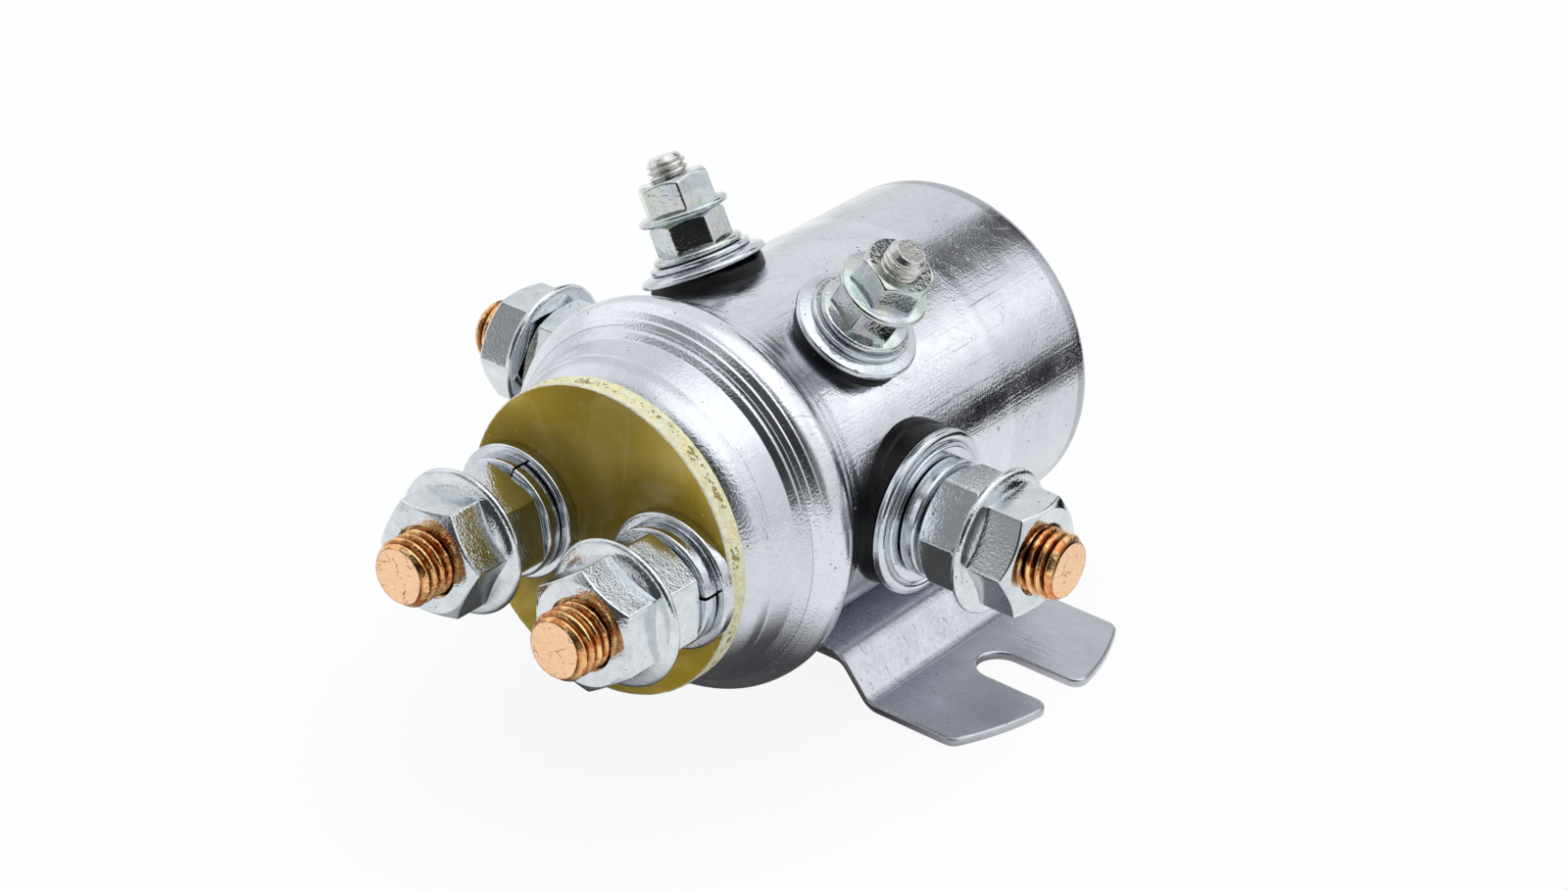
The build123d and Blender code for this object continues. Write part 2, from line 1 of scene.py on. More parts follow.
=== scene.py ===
# %% [markdown]
# A winch relay, dressed for its picture
#
# The relay is a solenoid in a drawn steel can. Four heavy copper studs carry the motor current,
# and two small studs on top carry the coil current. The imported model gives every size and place.
# This lesson builds the visible skin around it: turned sheet steel, threads, nuts and washers.

import json
from math import atan2, cos, hypot, pi, radians, sin, sqrt, tan

import bmesh
import bpy
from mathutils import Matrix, Vector, noise


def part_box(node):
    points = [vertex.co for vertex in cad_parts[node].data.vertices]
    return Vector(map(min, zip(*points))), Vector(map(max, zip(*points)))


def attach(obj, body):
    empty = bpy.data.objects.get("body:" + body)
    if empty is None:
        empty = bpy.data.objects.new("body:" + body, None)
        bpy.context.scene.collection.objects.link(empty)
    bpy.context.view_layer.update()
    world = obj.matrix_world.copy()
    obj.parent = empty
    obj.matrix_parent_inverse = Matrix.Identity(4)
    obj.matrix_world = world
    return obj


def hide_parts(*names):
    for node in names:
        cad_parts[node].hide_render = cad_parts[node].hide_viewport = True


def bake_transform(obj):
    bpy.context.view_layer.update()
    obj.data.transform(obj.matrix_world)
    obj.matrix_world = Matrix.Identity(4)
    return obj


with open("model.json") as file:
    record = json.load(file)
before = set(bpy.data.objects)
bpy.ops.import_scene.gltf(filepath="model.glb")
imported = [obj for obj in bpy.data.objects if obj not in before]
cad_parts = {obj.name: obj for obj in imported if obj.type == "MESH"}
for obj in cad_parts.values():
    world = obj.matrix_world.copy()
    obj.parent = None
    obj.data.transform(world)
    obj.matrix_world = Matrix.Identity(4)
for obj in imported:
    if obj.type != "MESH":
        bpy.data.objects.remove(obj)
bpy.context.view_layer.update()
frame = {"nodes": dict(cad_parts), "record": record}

# %% [markdown]
# The camera
#
# A long lens from the front right, looking down by about thirty degrees, keeps the studs from
# spreading. The camera stands at a measured point and looks along a measured direction. A small
# roll levels the picture the way the photographer held it.

# %% Set the camera
scene = bpy.context.scene
CAMERA_PLACE = Vector((0.30582, -0.43325, 0.31966))
CAMERA_BACK = Vector((0.51391, -0.70761, 0.48495)).normalized()
CAMERA_ROLL = radians(3.473)
CAMERA_LENS = 93.17
CAMERA_SENSOR = 36
NEAREST_SEEN = 0.01

level_right = Vector((0, 0, 1)).cross(CAMERA_BACK).normalized()
level_up = CAMERA_BACK.cross(level_right)
right = level_right * cos(CAMERA_ROLL) + level_up * sin(CAMERA_ROLL)
up = level_up * cos(CAMERA_ROLL) - level_right * sin(CAMERA_ROLL)
camera_data = bpy.data.cameras.new("camera")
camera_data.lens = CAMERA_LENS
camera_data.sensor_width = CAMERA_SENSOR
camera_data.clip_start = NEAREST_SEEN
camera = bpy.data.objects.new("camera", camera_data)
camera_turn = Matrix((right, up, CAMERA_BACK)).transposed().to_4x4()
camera.matrix_world = Matrix.Translation(CAMERA_PLACE) @ camera_turn
scene.collection.objects.link(camera)
scene.camera = camera
scene.view_settings.view_transform = "Standard"
print("camera", [round(value, 3) for value in CAMERA_PLACE])

# %% [markdown]
# Wiring nodes
#
# Every finish here is a small network of nodes. A few short helpers keep the networks readable.
# Wherever a helper takes a value, it also takes a link, which is written as a pair of a node and
# the name or number of its output.


# %% Helpers that wire nodes
def put(tree, source, socket):
    """Gives a socket a value, or a link when the source is a (node, output) pair."""
    if isinstance(source, tuple) and isinstance(source[0], bpy.types.Node):
        tree.links.new(source[0].outputs[source[1]], socket)
    else:
        socket.default_value = source


def feed(tree, node, **values):
    """Fills a node's inputs by name. A name that isn't an input is one of its settings."""
    for name, value in values.items():
        socket = node.inputs.get(name.replace("_", " "))
        if socket is None:
            setattr(node, name, value)
        else:
            put(tree, value, socket)
    return node


def add_node(tree, kind, **values):
    """Adds a shader node and fills it."""
    return feed(tree, tree.nodes.new(kind), **values)


def number(tree, operation, *operands, kind="ShaderNodeMath", output=0):
    """A Math node's result."""
    node = add_node(tree, kind, operation=operation)
    for place, operand in enumerate(operands):
        put(tree, operand, node.inputs[place])
    return node, output


def vector(tree, operation, *operands):
    """A Vector Math node's result, which is a number for lengths, distances and products."""
    measures = operation in ("LENGTH", "DISTANCE", "DOT_PRODUCT")
    output = "Value" if measures else "Vector"
    return number(tree, operation, *operands, kind="ShaderNodeVectorMath", output=output)


def part_of(tree, source, axis):
    """One of a vector's three numbers."""
    return add_node(tree, "ShaderNodeSeparateXYZ", Vector=source), axis


def graded(tree, source, low, high, start, end, smooth=True):
    """Turns the range low..high into start..end."""
    node = add_node(
        tree,
        "ShaderNodeMapRange",
        interpolation_type="SMOOTHSTEP" if smooth else "LINEAR",
        Value=source,
        From_Min=low,
        From_Max=high,
        To_Min=start,
        To_Max=end,
    )
    return node, "Result"


print("wiring helpers:", ", ".join(f.__name__ for f in (put, feed, number, vector, graded)))

# %% [markdown]
# The studio
#
# Bright metal shows nothing but its surroundings, so the surroundings are the real material
# here. The world is a pale tent with broad lamps overhead and at the sides. Black flags hang on
# the camera's side and behind, because zinc looks like zinc only where dark meets bright. Each
# patch is a cone about a direction, softened at its edge, so every view sees the same studio. A
# direction is given as degrees round from the front and degrees up.

# %% Build the tent
TENT_LEVEL = 0.90
HORIZON_LEVEL = 0.50
HORIZON_TOP = 0.10
TENT_COLOUR = (0.975, 0.985, 1.0, 1.0)
# name: direction, half width and soft edge in degrees, and light added
LAMPS = {
    "overhead": ((112, 74), 26, 14, 0.52),
    "right": ((115, 50), 20, 18, 0.18),
    "back right": ((143, 27), 5, 9, 0.45),
    "left": ((-88, 28), 12, 22, 0.25),
}
# the same, and the share of light taken away
BLACK_FLAGS = {
    "camera": ((19, 25), 24, 14, 0.915),
    "front right": ((54, 18), 14, 18, 0.74),
    "front left": ((-36, 34), 11, 13, 0.64),
    "back": ((181, 35), 9, 6, 0.90),
}


def round_and_up(degrees_round, degrees_up):
    """A direction from degrees round (0 is the front, 90 the right) and degrees up."""
    turn, rise = radians(degrees_round), radians(degrees_up)
    return Vector((sin(turn) * cos(rise), -cos(turn) * cos(rise), sin(rise)))


def patch(tree, direction, towards, half_width, edge):
    """1 inside a patch of the tent and 0 outside."""
    facing = vector(tree, "DOT_PRODUCT", direction, round_and_up(*towards).normalized())
    outer, inner = cos(radians(half_width + edge)), cos(radians(half_width))
    return graded(tree, facing, outer, inner, 0, 1)


world = bpy.data.worlds.new("tent")
world.use_nodes = True
scene.world = world
tent = world.node_tree
tent.nodes.clear()
direction = (add_node(tent, "ShaderNodeTexCoord"), "Generated")
rise = part_of(tent, direction, "Z")
level = graded(tent, rise, 0.0, HORIZON_TOP, HORIZON_LEVEL, TENT_LEVEL)
for *cone, gain in LAMPS.values():
    level = number(tent, "MULTIPLY_ADD", patch(tent, direction, *cone), gain, level)
for *cone, depth in BLACK_FLAGS.values():
    passed = number(tent, "MULTIPLY_ADD", patch(tent, direction, *cone), -depth, 1.0)
    level = number(tent, "MULTIPLY", level, passed)
background = add_node(tent, "ShaderNodeBackground", Color=TENT_COLOUR, Strength=level)
add_node(tent, "ShaderNodeOutputWorld", Surface=(background, 0))
print("lamps:", ", ".join(LAMPS), "- flags:", ", ".join(BLACK_FLAGS))

# %% [markdown]
# The floor
#
# The relay stands on a pale grey sheet, far larger than the picture, so that low views see no
# edge. As on a light table, the camera sees most of it as plain white, which thins the shadow.
# Metal sees the same white from a little way off, and a painted shadow under the can: a near
# black oval, where nearly no light comes. That painted shadow gives the lower sides of the nuts
# their depth.

# %% Lay the floor
FLOOR_RADIUS = 6.0
FOOTPRINT_MIDDLE = (0.0, -0.025, 0.0)
FOOTPRINT_SHAPE = (1.0, 0.6, 1.0)
WHITE_NEAR, WHITE_FAR = 0.92, 1.0
CAMERA_EDGES = (0.02, 0.065)
# painted shadow: mirrors see a near black oval under the can, and white beyond it
METAL_NEAR, METAL_FAR = 0.08, 1.0
METAL_EDGES = (0.026, 0.052)


def object_from(shape, name, *materials):
    """Turns a finished shape into an object of the scene."""
    mesh = bpy.data.meshes.new(name)
    shape.to_mesh(mesh)
    shape.free()
    for material in materials:
        mesh.materials.append(material)
    piece = bpy.data.objects.new(name, mesh)
    scene.collection.objects.link(piece)
    return piece


paper = bpy.data.materials.new("pale_paper")
paper.use_nodes = True
sheet = paper.node_tree
sheet.nodes.clear()
ray = add_node(sheet, "ShaderNodeLightPath")
place = (add_node(sheet, "ShaderNodeTexCoord"), "Object")
offset = vector(sheet, "SUBTRACT", place, FOOTPRINT_MIDDLE)
away = vector(sheet, "LENGTH", vector(sheet, "MULTIPLY", offset, FOOTPRINT_SHAPE))
for_camera = graded(sheet, away, *CAMERA_EDGES, WHITE_NEAR, WHITE_FAR)
# painted shadow that mirrors see under the can, turning to white further off
mirror_shadow = graded(sheet, away, *METAL_EDGES, METAL_NEAR - 1, METAL_FAR - 1)
mirrored = number(sheet, "MAXIMUM", (ray, "Is Glossy Ray"), (ray, "Is Transmission Ray"))
strength = number(sheet, "MULTIPLY_ADD", mirrored, mirror_shadow, 1.0)
seen = number(sheet, "MULTIPLY_ADD", (ray, "Is Camera Ray"), for_camera, mirrored)
matt = add_node(sheet, "ShaderNodeBsdfDiffuse", Color=(0.62, 0.62, 0.625, 1))
glow = add_node(sheet, "ShaderNodeEmission", Color=(0.99, 0.995, 1, 1), Strength=strength)
both = add_node(sheet, "ShaderNodeMixShader", Fac=seen)
put(sheet, (matt, 0), both.inputs[1])
put(sheet, (glow, 0), both.inputs[2])
add_node(sheet, "ShaderNodeOutputMaterial", Surface=(both, 0))
shape = bmesh.new()
bmesh.ops.create_circle(shape, cap_ends=True, segments=96, radius=FLOOR_RADIUS)
floor = object_from(shape, "floor", paper)
print("floor radius", FLOOR_RADIUS)

# %% [markdown]
# A black card
#
# A low black card stands on the sheet to the back right. It gives the can the dark line low on
# its side that keeps a bright cylinder from looking flat. Only mirrors see it: it throws no
# shadow and no view shows it.

# %% Stand the card
CARD_ROUND, CARD_AWAY, CARD_WIDTH, CARD_HEIGHT = 139, 0.165, 0.14, 0.044
CARD_LIFT = 0.0005
card_black = bpy.data.materials.new("card_black")
card_black.use_nodes = True
feed(
    card_black.node_tree,
    card_black.node_tree.nodes["Principled BSDF"],
    Base_Color=(0.012, 0.012, 0.013, 1),
    Roughness=0.9,
    Specular_IOR_Level=0.1,
)
card_place = round_and_up(CARD_ROUND, 0) * CARD_AWAY
card_place.z = CARD_HEIGHT / 2 + CARD_LIFT
card_turn = Matrix.Rotation(radians(CARD_ROUND), 4, "Z") @ Matrix.Rotation(radians(90), 4, "X")
shape = bmesh.new()
bmesh.ops.create_grid(shape, x_segments=1, y_segments=1, size=0.5)
bmesh.ops.scale(shape, vec=(CARD_WIDTH, CARD_HEIGHT, 1), verts=shape.verts)
bmesh.ops.transform(shape, matrix=card_turn, verts=shape.verts)
bmesh.ops.translate(shape, vec=card_place, verts=shape.verts)
card = object_from(shape, "black_card", card_black)
card.visible_camera = card.visible_diffuse = card.visible_shadow = False
print("card", CARD_WIDTH, CARD_HEIGHT)

# %% [markdown]
# Where the stacks stand
#
# Nuts and washers are threaded on studs that point five different ways. Each stud gets a seat:
# a frame whose Z is the stud's own axis. A piece is built upright in millimetres over the seat
# and moved to its place in the mesh, so that its object stays at the origin. Heights and radii
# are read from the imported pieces, so nothing here can drift away from them.

# %% Seats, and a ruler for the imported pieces
MM = 0.001
SIDES = {"left": -1, "right": 1}
STUD_LEAN = radians(29.9)

disc_low, disc_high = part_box("end_disc")
AXIS_HEIGHT = (disc_low.z + disc_high.z) / 2


def seat_at(x, y, along, across):
    """A seat on the can's axis or beside it, from its Z direction and its X direction."""
    along, across = Vector(along), Vector(across)
    turned = Matrix((across, along.cross(across), along)).transposed().to_4x4()
    return Matrix.Translation((x, y, AXIS_HEIGHT)) @ turned


def middle(node):
    """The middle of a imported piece's box."""
    low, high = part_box(node)
    return (low + high) / 2


barrel = seat_at(0, disc_low.y, (0, 1, 0), (1, 0, 0))
seats = {}
for hand, side in SIDES.items():
    end_x, side_y = middle(f"end_stud_{hand}").x, middle(f"side_stud_{hand}").y
    coil_y = middle(f"coil_washer_{hand}").y
    leaning = (side * sin(STUD_LEAN), 0, cos(STUD_LEAN))
    seats["end", hand] = seat_at(end_x, disc_low.y, (0, -1, 0), (1, 0, 0))
    seats["side", hand] = seat_at(0, side_y, (side, 0, 0), (0, 1, 0))
    seats["coil", hand] = seat_at(0, coil_y, leaning, (0, 1, 0))


def measured(node, seat):
    """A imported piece's (height, radius, angle) points over a seat, in millimetres and radians."""
    inward = seat.inverted()
    points = []
    for vertex in frame["nodes"][node].data.vertices:
        x, y, z = inward @ vertex.co / MM
        points.append((z, hypot(x, y), atan2(y, x)))
    return points


def extent(node, seat):
    """Lowest and highest point over the seat, smallest and largest radius."""
    heights, radii, _ = zip(*measured(node, seat))
    return min(heights), max(heights), min(radii), max(radii)


print("can", [round(value, 1) for value in extent("can_housing", barrel)])
print("seats", len(seats))

# %% [markdown]
# Turning a section
#
# Most of the relay is round: the can, the cap, washers, flanges and bushes. Each is one closed
# section, spun about its seat. The section's corners are rounded while it is still flat, which
# costs a few points and gives every rim its highlight. Spinning a rounded section gives cleaner
# faces than bevelling the finished ring. A section is a list of points, each with its radius,
# its height and the size of its rounded corner.

# %% Spin a rounded section
SAME_POINT = 0.0005
NORMAL_WEIGHT = 80


def rounded(shape, geom, size, affect="EDGES", segments=3):
    """Rounds the edges or the corners given."""
    bmesh.ops.bevel(
        shape,
        geom=geom,
        offset=size,
        offset_type="OFFSET",
        segments=segments,
        profile=0.5,
        affect=affect,
        clamp_overlap=affect == "EDGES",
        material=-1,
    )


def outline_in(shape, outline, closed=True):
    """Draws a section in a shape and rounds its corners."""
    corners = [shape.verts.new((radius, 0, height)) for radius, height, _ in outline]
    for start, end in zip(corners, corners[1:] + corners[:1] if closed else corners[1:]):
        shape.edges.new((start, end))
    for corner, (_, _, size) in zip(corners, outline):
        if size:
            rounded(shape, [corner], size, "VERTICES", 6)


def swept(shape, angle, steps, climb=0.0, use_merge=False):
    """Spins a section about Z, climbing a little at each step."""
    bmesh.ops.spin(
        shape,
        geom=shape.verts[:] + shape.edges[:],
        cent=(0, 0, 0),
        axis=(0, 0, 1),
        dvec=(0, 0, climb),
        angle=angle,
        steps=steps,
        use_merge=use_merge,
    )


def merged(shape, distance=SAME_POINT):
    """Merges doubled points and turns all faces outwards."""
    bmesh.ops.remove_doubles(shape, verts=shape.verts, dist=distance)
    bmesh.ops.recalc_face_normals(shape, faces=shape.faces)
    return shape


def spun(outline, steps=128):
    """A round shape from a closed section."""
    shape = bmesh.new()
    outline_in(shape, outline)
    swept(shape, 2 * pi, steps, use_merge=True)
    return merged(shape)


made = []


def placed(shape, node, seat, slot, name=None, finish=None, crease=35):
    """Moves a finished shape to its seat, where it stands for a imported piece."""
    bmesh.ops.transform(shape, matrix=seat @ Matrix.Scale(MM, 4), verts=shape.verts)
    piece = object_from(shape, name or f"{node}_skin", *(finish or [finishes[slot]]))
    piece.data.shade_smooth()
    piece.data.set_sharp_from_angle(angle=radians(crease))
    even = piece.modifiers.new("even_normals", "WEIGHTED_NORMAL")
    even.keep_sharp = True
    even.weight = NORMAL_WEIGHT
    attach(piece, "housing")
    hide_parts(node)
    made.append(piece)
    print(piece.name, "faces", len(piece.data.polygons))


sample = spun([(4.0, 0.0, 0.1), (8.0, 0.0, 0.2), (8.0, 1.5, 0.5), (4.0, 1.5, 0.2)])
print("a plain washer has", len(sample.faces), "faces")
sample.free()

# %% [markdown]
# Effects that the finishes share
#
# Zinc plate is never even. It has cloudy patches, tiny pits, hairlines from handling and streaks
# from the press tools. Those four effects are node groups, so the can, the nuts and the bracket
# can each mix their own amount. A group reads Object coordinates, which are metres in the
# relay's own frame, and puts out one number.

# %% Cloudy patches, pits, hairlines and press marks
FLOAT, VECTOR = "NodeSocketFloat", "NodeSocketVector"


def effect(name, output, **inputs):
    """An empty node group with its inputs, the coordinates first, and its one output."""
    group = bpy.data.node_groups.new(name, "ShaderNodeTree")
    for socket, kind in {"Vector": VECTOR, **inputs}.items():
        group.interface.new_socket(socket, in_out="INPUT", socket_type=kind)
    group.interface.new_socket(output, in_out="OUTPUT", socket_type=FLOAT)
    given = group.nodes.new("NodeGroupInput")
    return group, *((given, socket) for socket in ("Vector", *inputs))


def noisy(tree, place, scale, detail, roughness=0.5, distortion=0.0, output="Fac"):
    """A noise texture, read at a place."""
    node = add_node(tree, "ShaderNodeTexNoise", Vector=place, Scale=scale, Detail=detail)
    return feed(tree, node, Roughness=roughness, Distortion=distortion), output


def cells(tree, place, scale, feature="F1"):
    """The distance to the middle, or to the edge, of cells scattered at random."""
    node = add_node(tree, "ShaderNodeTexVoronoi", feature=feature, Vector=place, Scale=scale)
    return feed(tree, node, Randomness=1.0), "Distance"


def cloud_group():
    """Slow patches with a ragged edge, from 0 to 1."""
    group, place, scale, contrast = effect(
        "cloudy_patches", "Patches", Scale=FLOAT, Contrast=FLOAT
    )
    broad = noisy(group, place, scale, 5.0, 0.62, 0.6)
    centred = number(group, "SUBTRACT", broad, 0.5)
    shifted = number(group, "ADD", number(group, "MULTIPLY", centred, contrast), 0.5)
    shifted[0].use_clamp = True
    add_node(group, "NodeGroupOutput", Patches=shifted)
    return group


def pit_group():
    """Small dark pits, 1 in a pit and 0 elsewhere."""
    group, place, scale, amount = effect("pits", "Pits", Scale=FLOAT, Amount=FLOAT)
    spread = noisy(group, place, number(group, "MULTIPLY", scale, 0.38), 3.0)
    reach = number(group, "MULTIPLY", graded(group, spread, 0.54, 0.74, 0.0, 0.36), amount)
    inside = number(group, "SUBTRACT", reach, cells(group, place, scale))
    add_node(group, "NodeGroupOutput", Pits=graded(group, inside, 0.0, 0.08, 0.0, 1.0))
    return group


def hairline_group():
    """Fine lines that run along the stretched direction, from 0 to 1."""
    group, place, stretch, amount = effect("hairlines", "Lines", Stretch=VECTOR, Amount=FLOAT)
    fine = noisy(group, vector(group, "MULTIPLY", place, stretch), 1.0, 3.0, 0.6)
    sharp = graded(group, fine, 0.60, 0.72, 0.0, 1.0)
    where = graded(group, noisy(group, place, 55.0, 2.0), 0.42, 0.62, 0.0, 1.0)
    lines = number(group, "MULTIPLY", number(group, "MULTIPLY", sharp, where), amount)
    add_node(group, "NodeGroupOutput", Lines=lines)
    return group


def draw_group():
    """Streaks left by the press tools: a height that varies fast across the stretch."""
    group, place, stretch, scale, gritty = effect(
        "draw_marks", "Height", Stretch=VECTOR, Scale=FLOAT, Grit=FLOAT
    )
    streak = noisy(group, vector(group, "MULTIPLY", place, stretch), 1.0, 2.0, 0.55)
    peel = noisy(group, place, scale, 3.0, 0.6)
    grit = noisy(group, place, number(group, "MULTIPLY", scale, 1.7), 1.0)
    share = graded(group, noisy(group, place, 90.0, 2.0), 0.35, 0.65, 0.35, 1.45)
    both = number(group, "ADD", streak, peel)
    both = number(group, "MULTIPLY_ADD", grit, gritty, both)
    add_node(group, "NodeGroupOutput", Height=number(group, "MULTIPLY", both, share))
    return group


CLOUDS, PITS, HAIRLINES, DRAWN = cloud_group(), pit_group(), hairline_group(), draw_group()


def shared(tree, group, place, **values):
    """Places a shared effect in a material and gives back what it puts out."""
    return add_node(tree, "ShaderNodeGroup", node_tree=group, Vector=place, **values), 0


print("shared effects", [group.name for group in (CLOUDS, PITS, HAIRLINES, DRAWN)])

# %% [markdown]
# Plated steel
#
# One recipe serves every plated part. The patches shift the colour between a lighter and a
# darker grey, and dull the gloss where the plating is cloudy. Pits, hairlines and press marks go
# into the bump. The sizes differ: a can shows broad patches, and a nut shows small ones.


# %% The plated steel recipe
def blended(tree, factor, first, second):
    """A mix of two colours, each three numbers or a link."""
    mix = add_node(tree, "ShaderNodeMix", data_type="RGBA", Factor=factor)
    for place, colour in ((6, first), (7, second)):
        put(tree, colour if len(colour) == 2 else (*colour, 1), mix.inputs[place])
    return mix, 2


def bare_material(name):
    """A material, its nodes, its Principled BSDF and the Object coordinates of the piece."""
    material = bpy.data.materials.new(name)
    material.use_nodes = True
    tree = material.node_tree
    place = (tree.nodes.new("ShaderNodeTexCoord"), "Object")
    return material, tree, tree.nodes["Principled BSDF"], place


def bumped(tree, height, metres):
    """A bump of a height times a distance in metres."""
    return add_node(tree, "ShaderNodeBump", Distance=metres, Strength=1.0, Height=height), "Normal"


def times(colour, share):
    """A colour made darker or lighter."""
    return tuple(channel * share for channel in colour)


TINT_SCALES = (210.0, 260.0, 310.0)
CROSSINGS = (0.45, -0.8)
CROSSED_STRETCH = (4200.0, 120.0, 900.0)


def plate_colour(tree, place, mottle, light, dark, tints, painted_shade_steps):
    """The plate's own grey, cloudy tints over it, and painted shade in darker steps along Y."""
    colour = blended(tree, mottle, dark, light)
    for scale, tint in zip(TINT_SCALES, tints):
        hue = shared(tree, CLOUDS, place, Scale=scale, Contrast=5.0)
        colour = blended(tree, number(tree, "MULTIPLY", hue, 0.38), colour, tint)
    # painted shade: past each step along Y the plate turns darker
    for start_y, end_y, share in painted_shade_steps:
        step = graded(tree, part_of(tree, place, "Y"), start_y, end_y, 0.0, share)
        colour = blended(tree, step, colour, times(dark, 0.42))
    return colour


def scratched(tree, place, stretch, lines, crossed):
    """Hairlines along the stretch, and finer ones that cross them at two angles."""
    hairs = shared(tree, HAIRLINES, place, Stretch=stretch, Amount=lines)
    scratches = number(tree, "MULTIPLY", hairs, 0.45)
    for angle in CROSSINGS if crossed else ():
        turned = add_node(
            tree, "ShaderNodeVectorRotate", rotation_type="Z_AXIS", Angle=angle, Vector=place
        )
        fine = shared(tree, HAIRLINES, (turned, 0), Stretch=CROSSED_STRETCH, Amount=crossed)
        scratches = number(tree, "MULTIPLY_ADD", fine, 0.5, scratches)
    return scratches


def plated(
    name,
    light,
    dark,
    gloss=(0.12, 0.24),
    patch_scale=70.0,
    contrast=2.2,
    pit_scale=900.0,
    pit_amount=1.0,
    stretch=(1500.0, 40.0, 1500.0),
    lines=1.0,
    peel_scale=1600.0,
    relief=0.00004,
    grit=0.35,
    crossed=0.0,
    tints=(),
    painted_shade_steps=(),
    dust=0.0,
):
    """Zinc plate: patches in colour and gloss, and press marks, pits and hairlines."""
    material, tree, skin, place = bare_material(name)
    clouds = shared(tree, CLOUDS, place, Scale=patch_scale, Contrast=contrast)
    grain = shared(tree, CLOUDS, place, Scale=patch_scale * 9, Contrast=2.6)
    pits = shared(tree, PITS, place, Scale=pit_scale, Amount=pit_amount)
    marks = shared(tree, DRAWN, place, Stretch=stretch, Scale=peel_scale, Grit=grit)
    scratches = scratched(tree, place, stretch, lines, crossed)
    mottle = number(tree, "MULTIPLY_ADD", grain, 0.3, number(tree, "MULTIPLY", clouds, 0.7))
    colour = plate_colour(tree, place, mottle, light, dark, tints, painted_shade_steps)
    stain = number(tree, "MULTIPLY_ADD", pits, 0.75, scratches)
    stain[0].use_clamp = True
    colour = blended(tree, stain, colour, times(dark, 0.25))
    metallic = 1.0
    if dust:
        specks = shared(tree, PITS, place, Scale=pit_scale * 2.3, Amount=dust)
        settled = number(tree, "MULTIPLY", specks, 0.5)
        colour = blended(tree, settled, colour, (0.84, 0.85, 0.88))
        metallic = number(tree, "SUBTRACT", 1.0, settled)
    rough = graded(tree, mottle, 0.1, 0.9, gloss[1], gloss[0], smooth=False)
    height = number(tree, "MULTIPLY_ADD", pits, -0.5, marks)
    height = number(tree, "MULTIPLY_ADD", scratches, -0.9, height)
    normal = bumped(tree, height, relief)
    feed(tree, skin, Base_Color=colour, Metallic=metallic, Roughness=rough, Normal=normal)
    return material


print("tints are clouded at scales", TINT_SCALES)

# %% The plated finishes
ALONG_CAN = (2600.0, 26.0, 2600.0)
PLATES = {
    "can_zinc": dict(
        light=(0.80, 0.82, 0.87), dark=(0.64, 0.66, 0.71), patch_scale=65.0, stretch=ALONG_CAN,
        lines=1.2, relief=0.000026, grit=1.25, crossed=0.8, dust=1.4,
        # painted shade: a faint darker step along the can, and a darker band near its rear rim
        painted_shade_steps=((0.0085, 0.0098, 0.14), (0.0256, 0.0264, 0.55)),
    ),
    "cap_zinc": dict(
        light=(0.71, 0.735, 0.785), dark=(0.57, 0.59, 0.64), gloss=(0.14, 0.25),
        patch_scale=80.0, pit_amount=0.6, stretch=ALONG_CAN, lines=0.5, relief=0.000027,
        grit=1.5, crossed=0.4,
    ),
    "bracket_zinc": dict(
        light=(0.58, 0.59, 0.63), dark=(0.46, 0.47, 0.51), gloss=(0.19, 0.31),
        patch_scale=110.0, pit_amount=0.7, stretch=(60.0, 1600.0, 1600.0), relief=0.000035,
    ),
    "nut_zinc": dict(
        light=(0.79, 0.82, 0.85), dark=(0.54, 0.58, 0.60), gloss=(0.07, 0.16),
        patch_scale=340.0, contrast=2.4, pit_scale=1500.0, pit_amount=1.1,
        stretch=(1100.0,) * 3, lines=0.5, peel_scale=1700.0, relief=0.000016, grit=1.8,
    ),
    "washer_zinc": dict(
        light=(0.74, 0.77, 0.81), dark=(0.50, 0.53, 0.57), gloss=(0.08, 0.17),
        patch_scale=220.0, pit_scale=1300.0, stretch=(1000.0,) * 3, lines=0.5,
        peel_scale=1800.0, relief=0.000030,
    ),
    "coil_nut_zinc": dict(
        light=(0.70, 0.75, 0.77), dark=(0.34, 0.37, 0.38), gloss=(0.06, 0.12),
        patch_scale=190.0, contrast=3.2, pit_scale=1800.0, pit_amount=0.5,
        stretch=(1300.0,) * 3, lines=0.4, peel_scale=1300.0, relief=0.000024, grit=1.0,
        tints=((0.44, 0.68, 0.58), (0.66, 0.56, 0.78), (0.74, 0.74, 0.56)),
    ),
    "coil_stud_nickel": dict(
        light=(0.80, 0.80, 0.77), dark=(0.50, 0.50, 0.47), gloss=(0.12, 0.26),
        patch_scale=500.0, contrast=2.6, pit_scale=2200.0, peel_scale=2600.0,
    ),
}
finishes = {name: plated(name, **look) for name, look in PLATES.items()}
print("plated finishes", len(finishes))
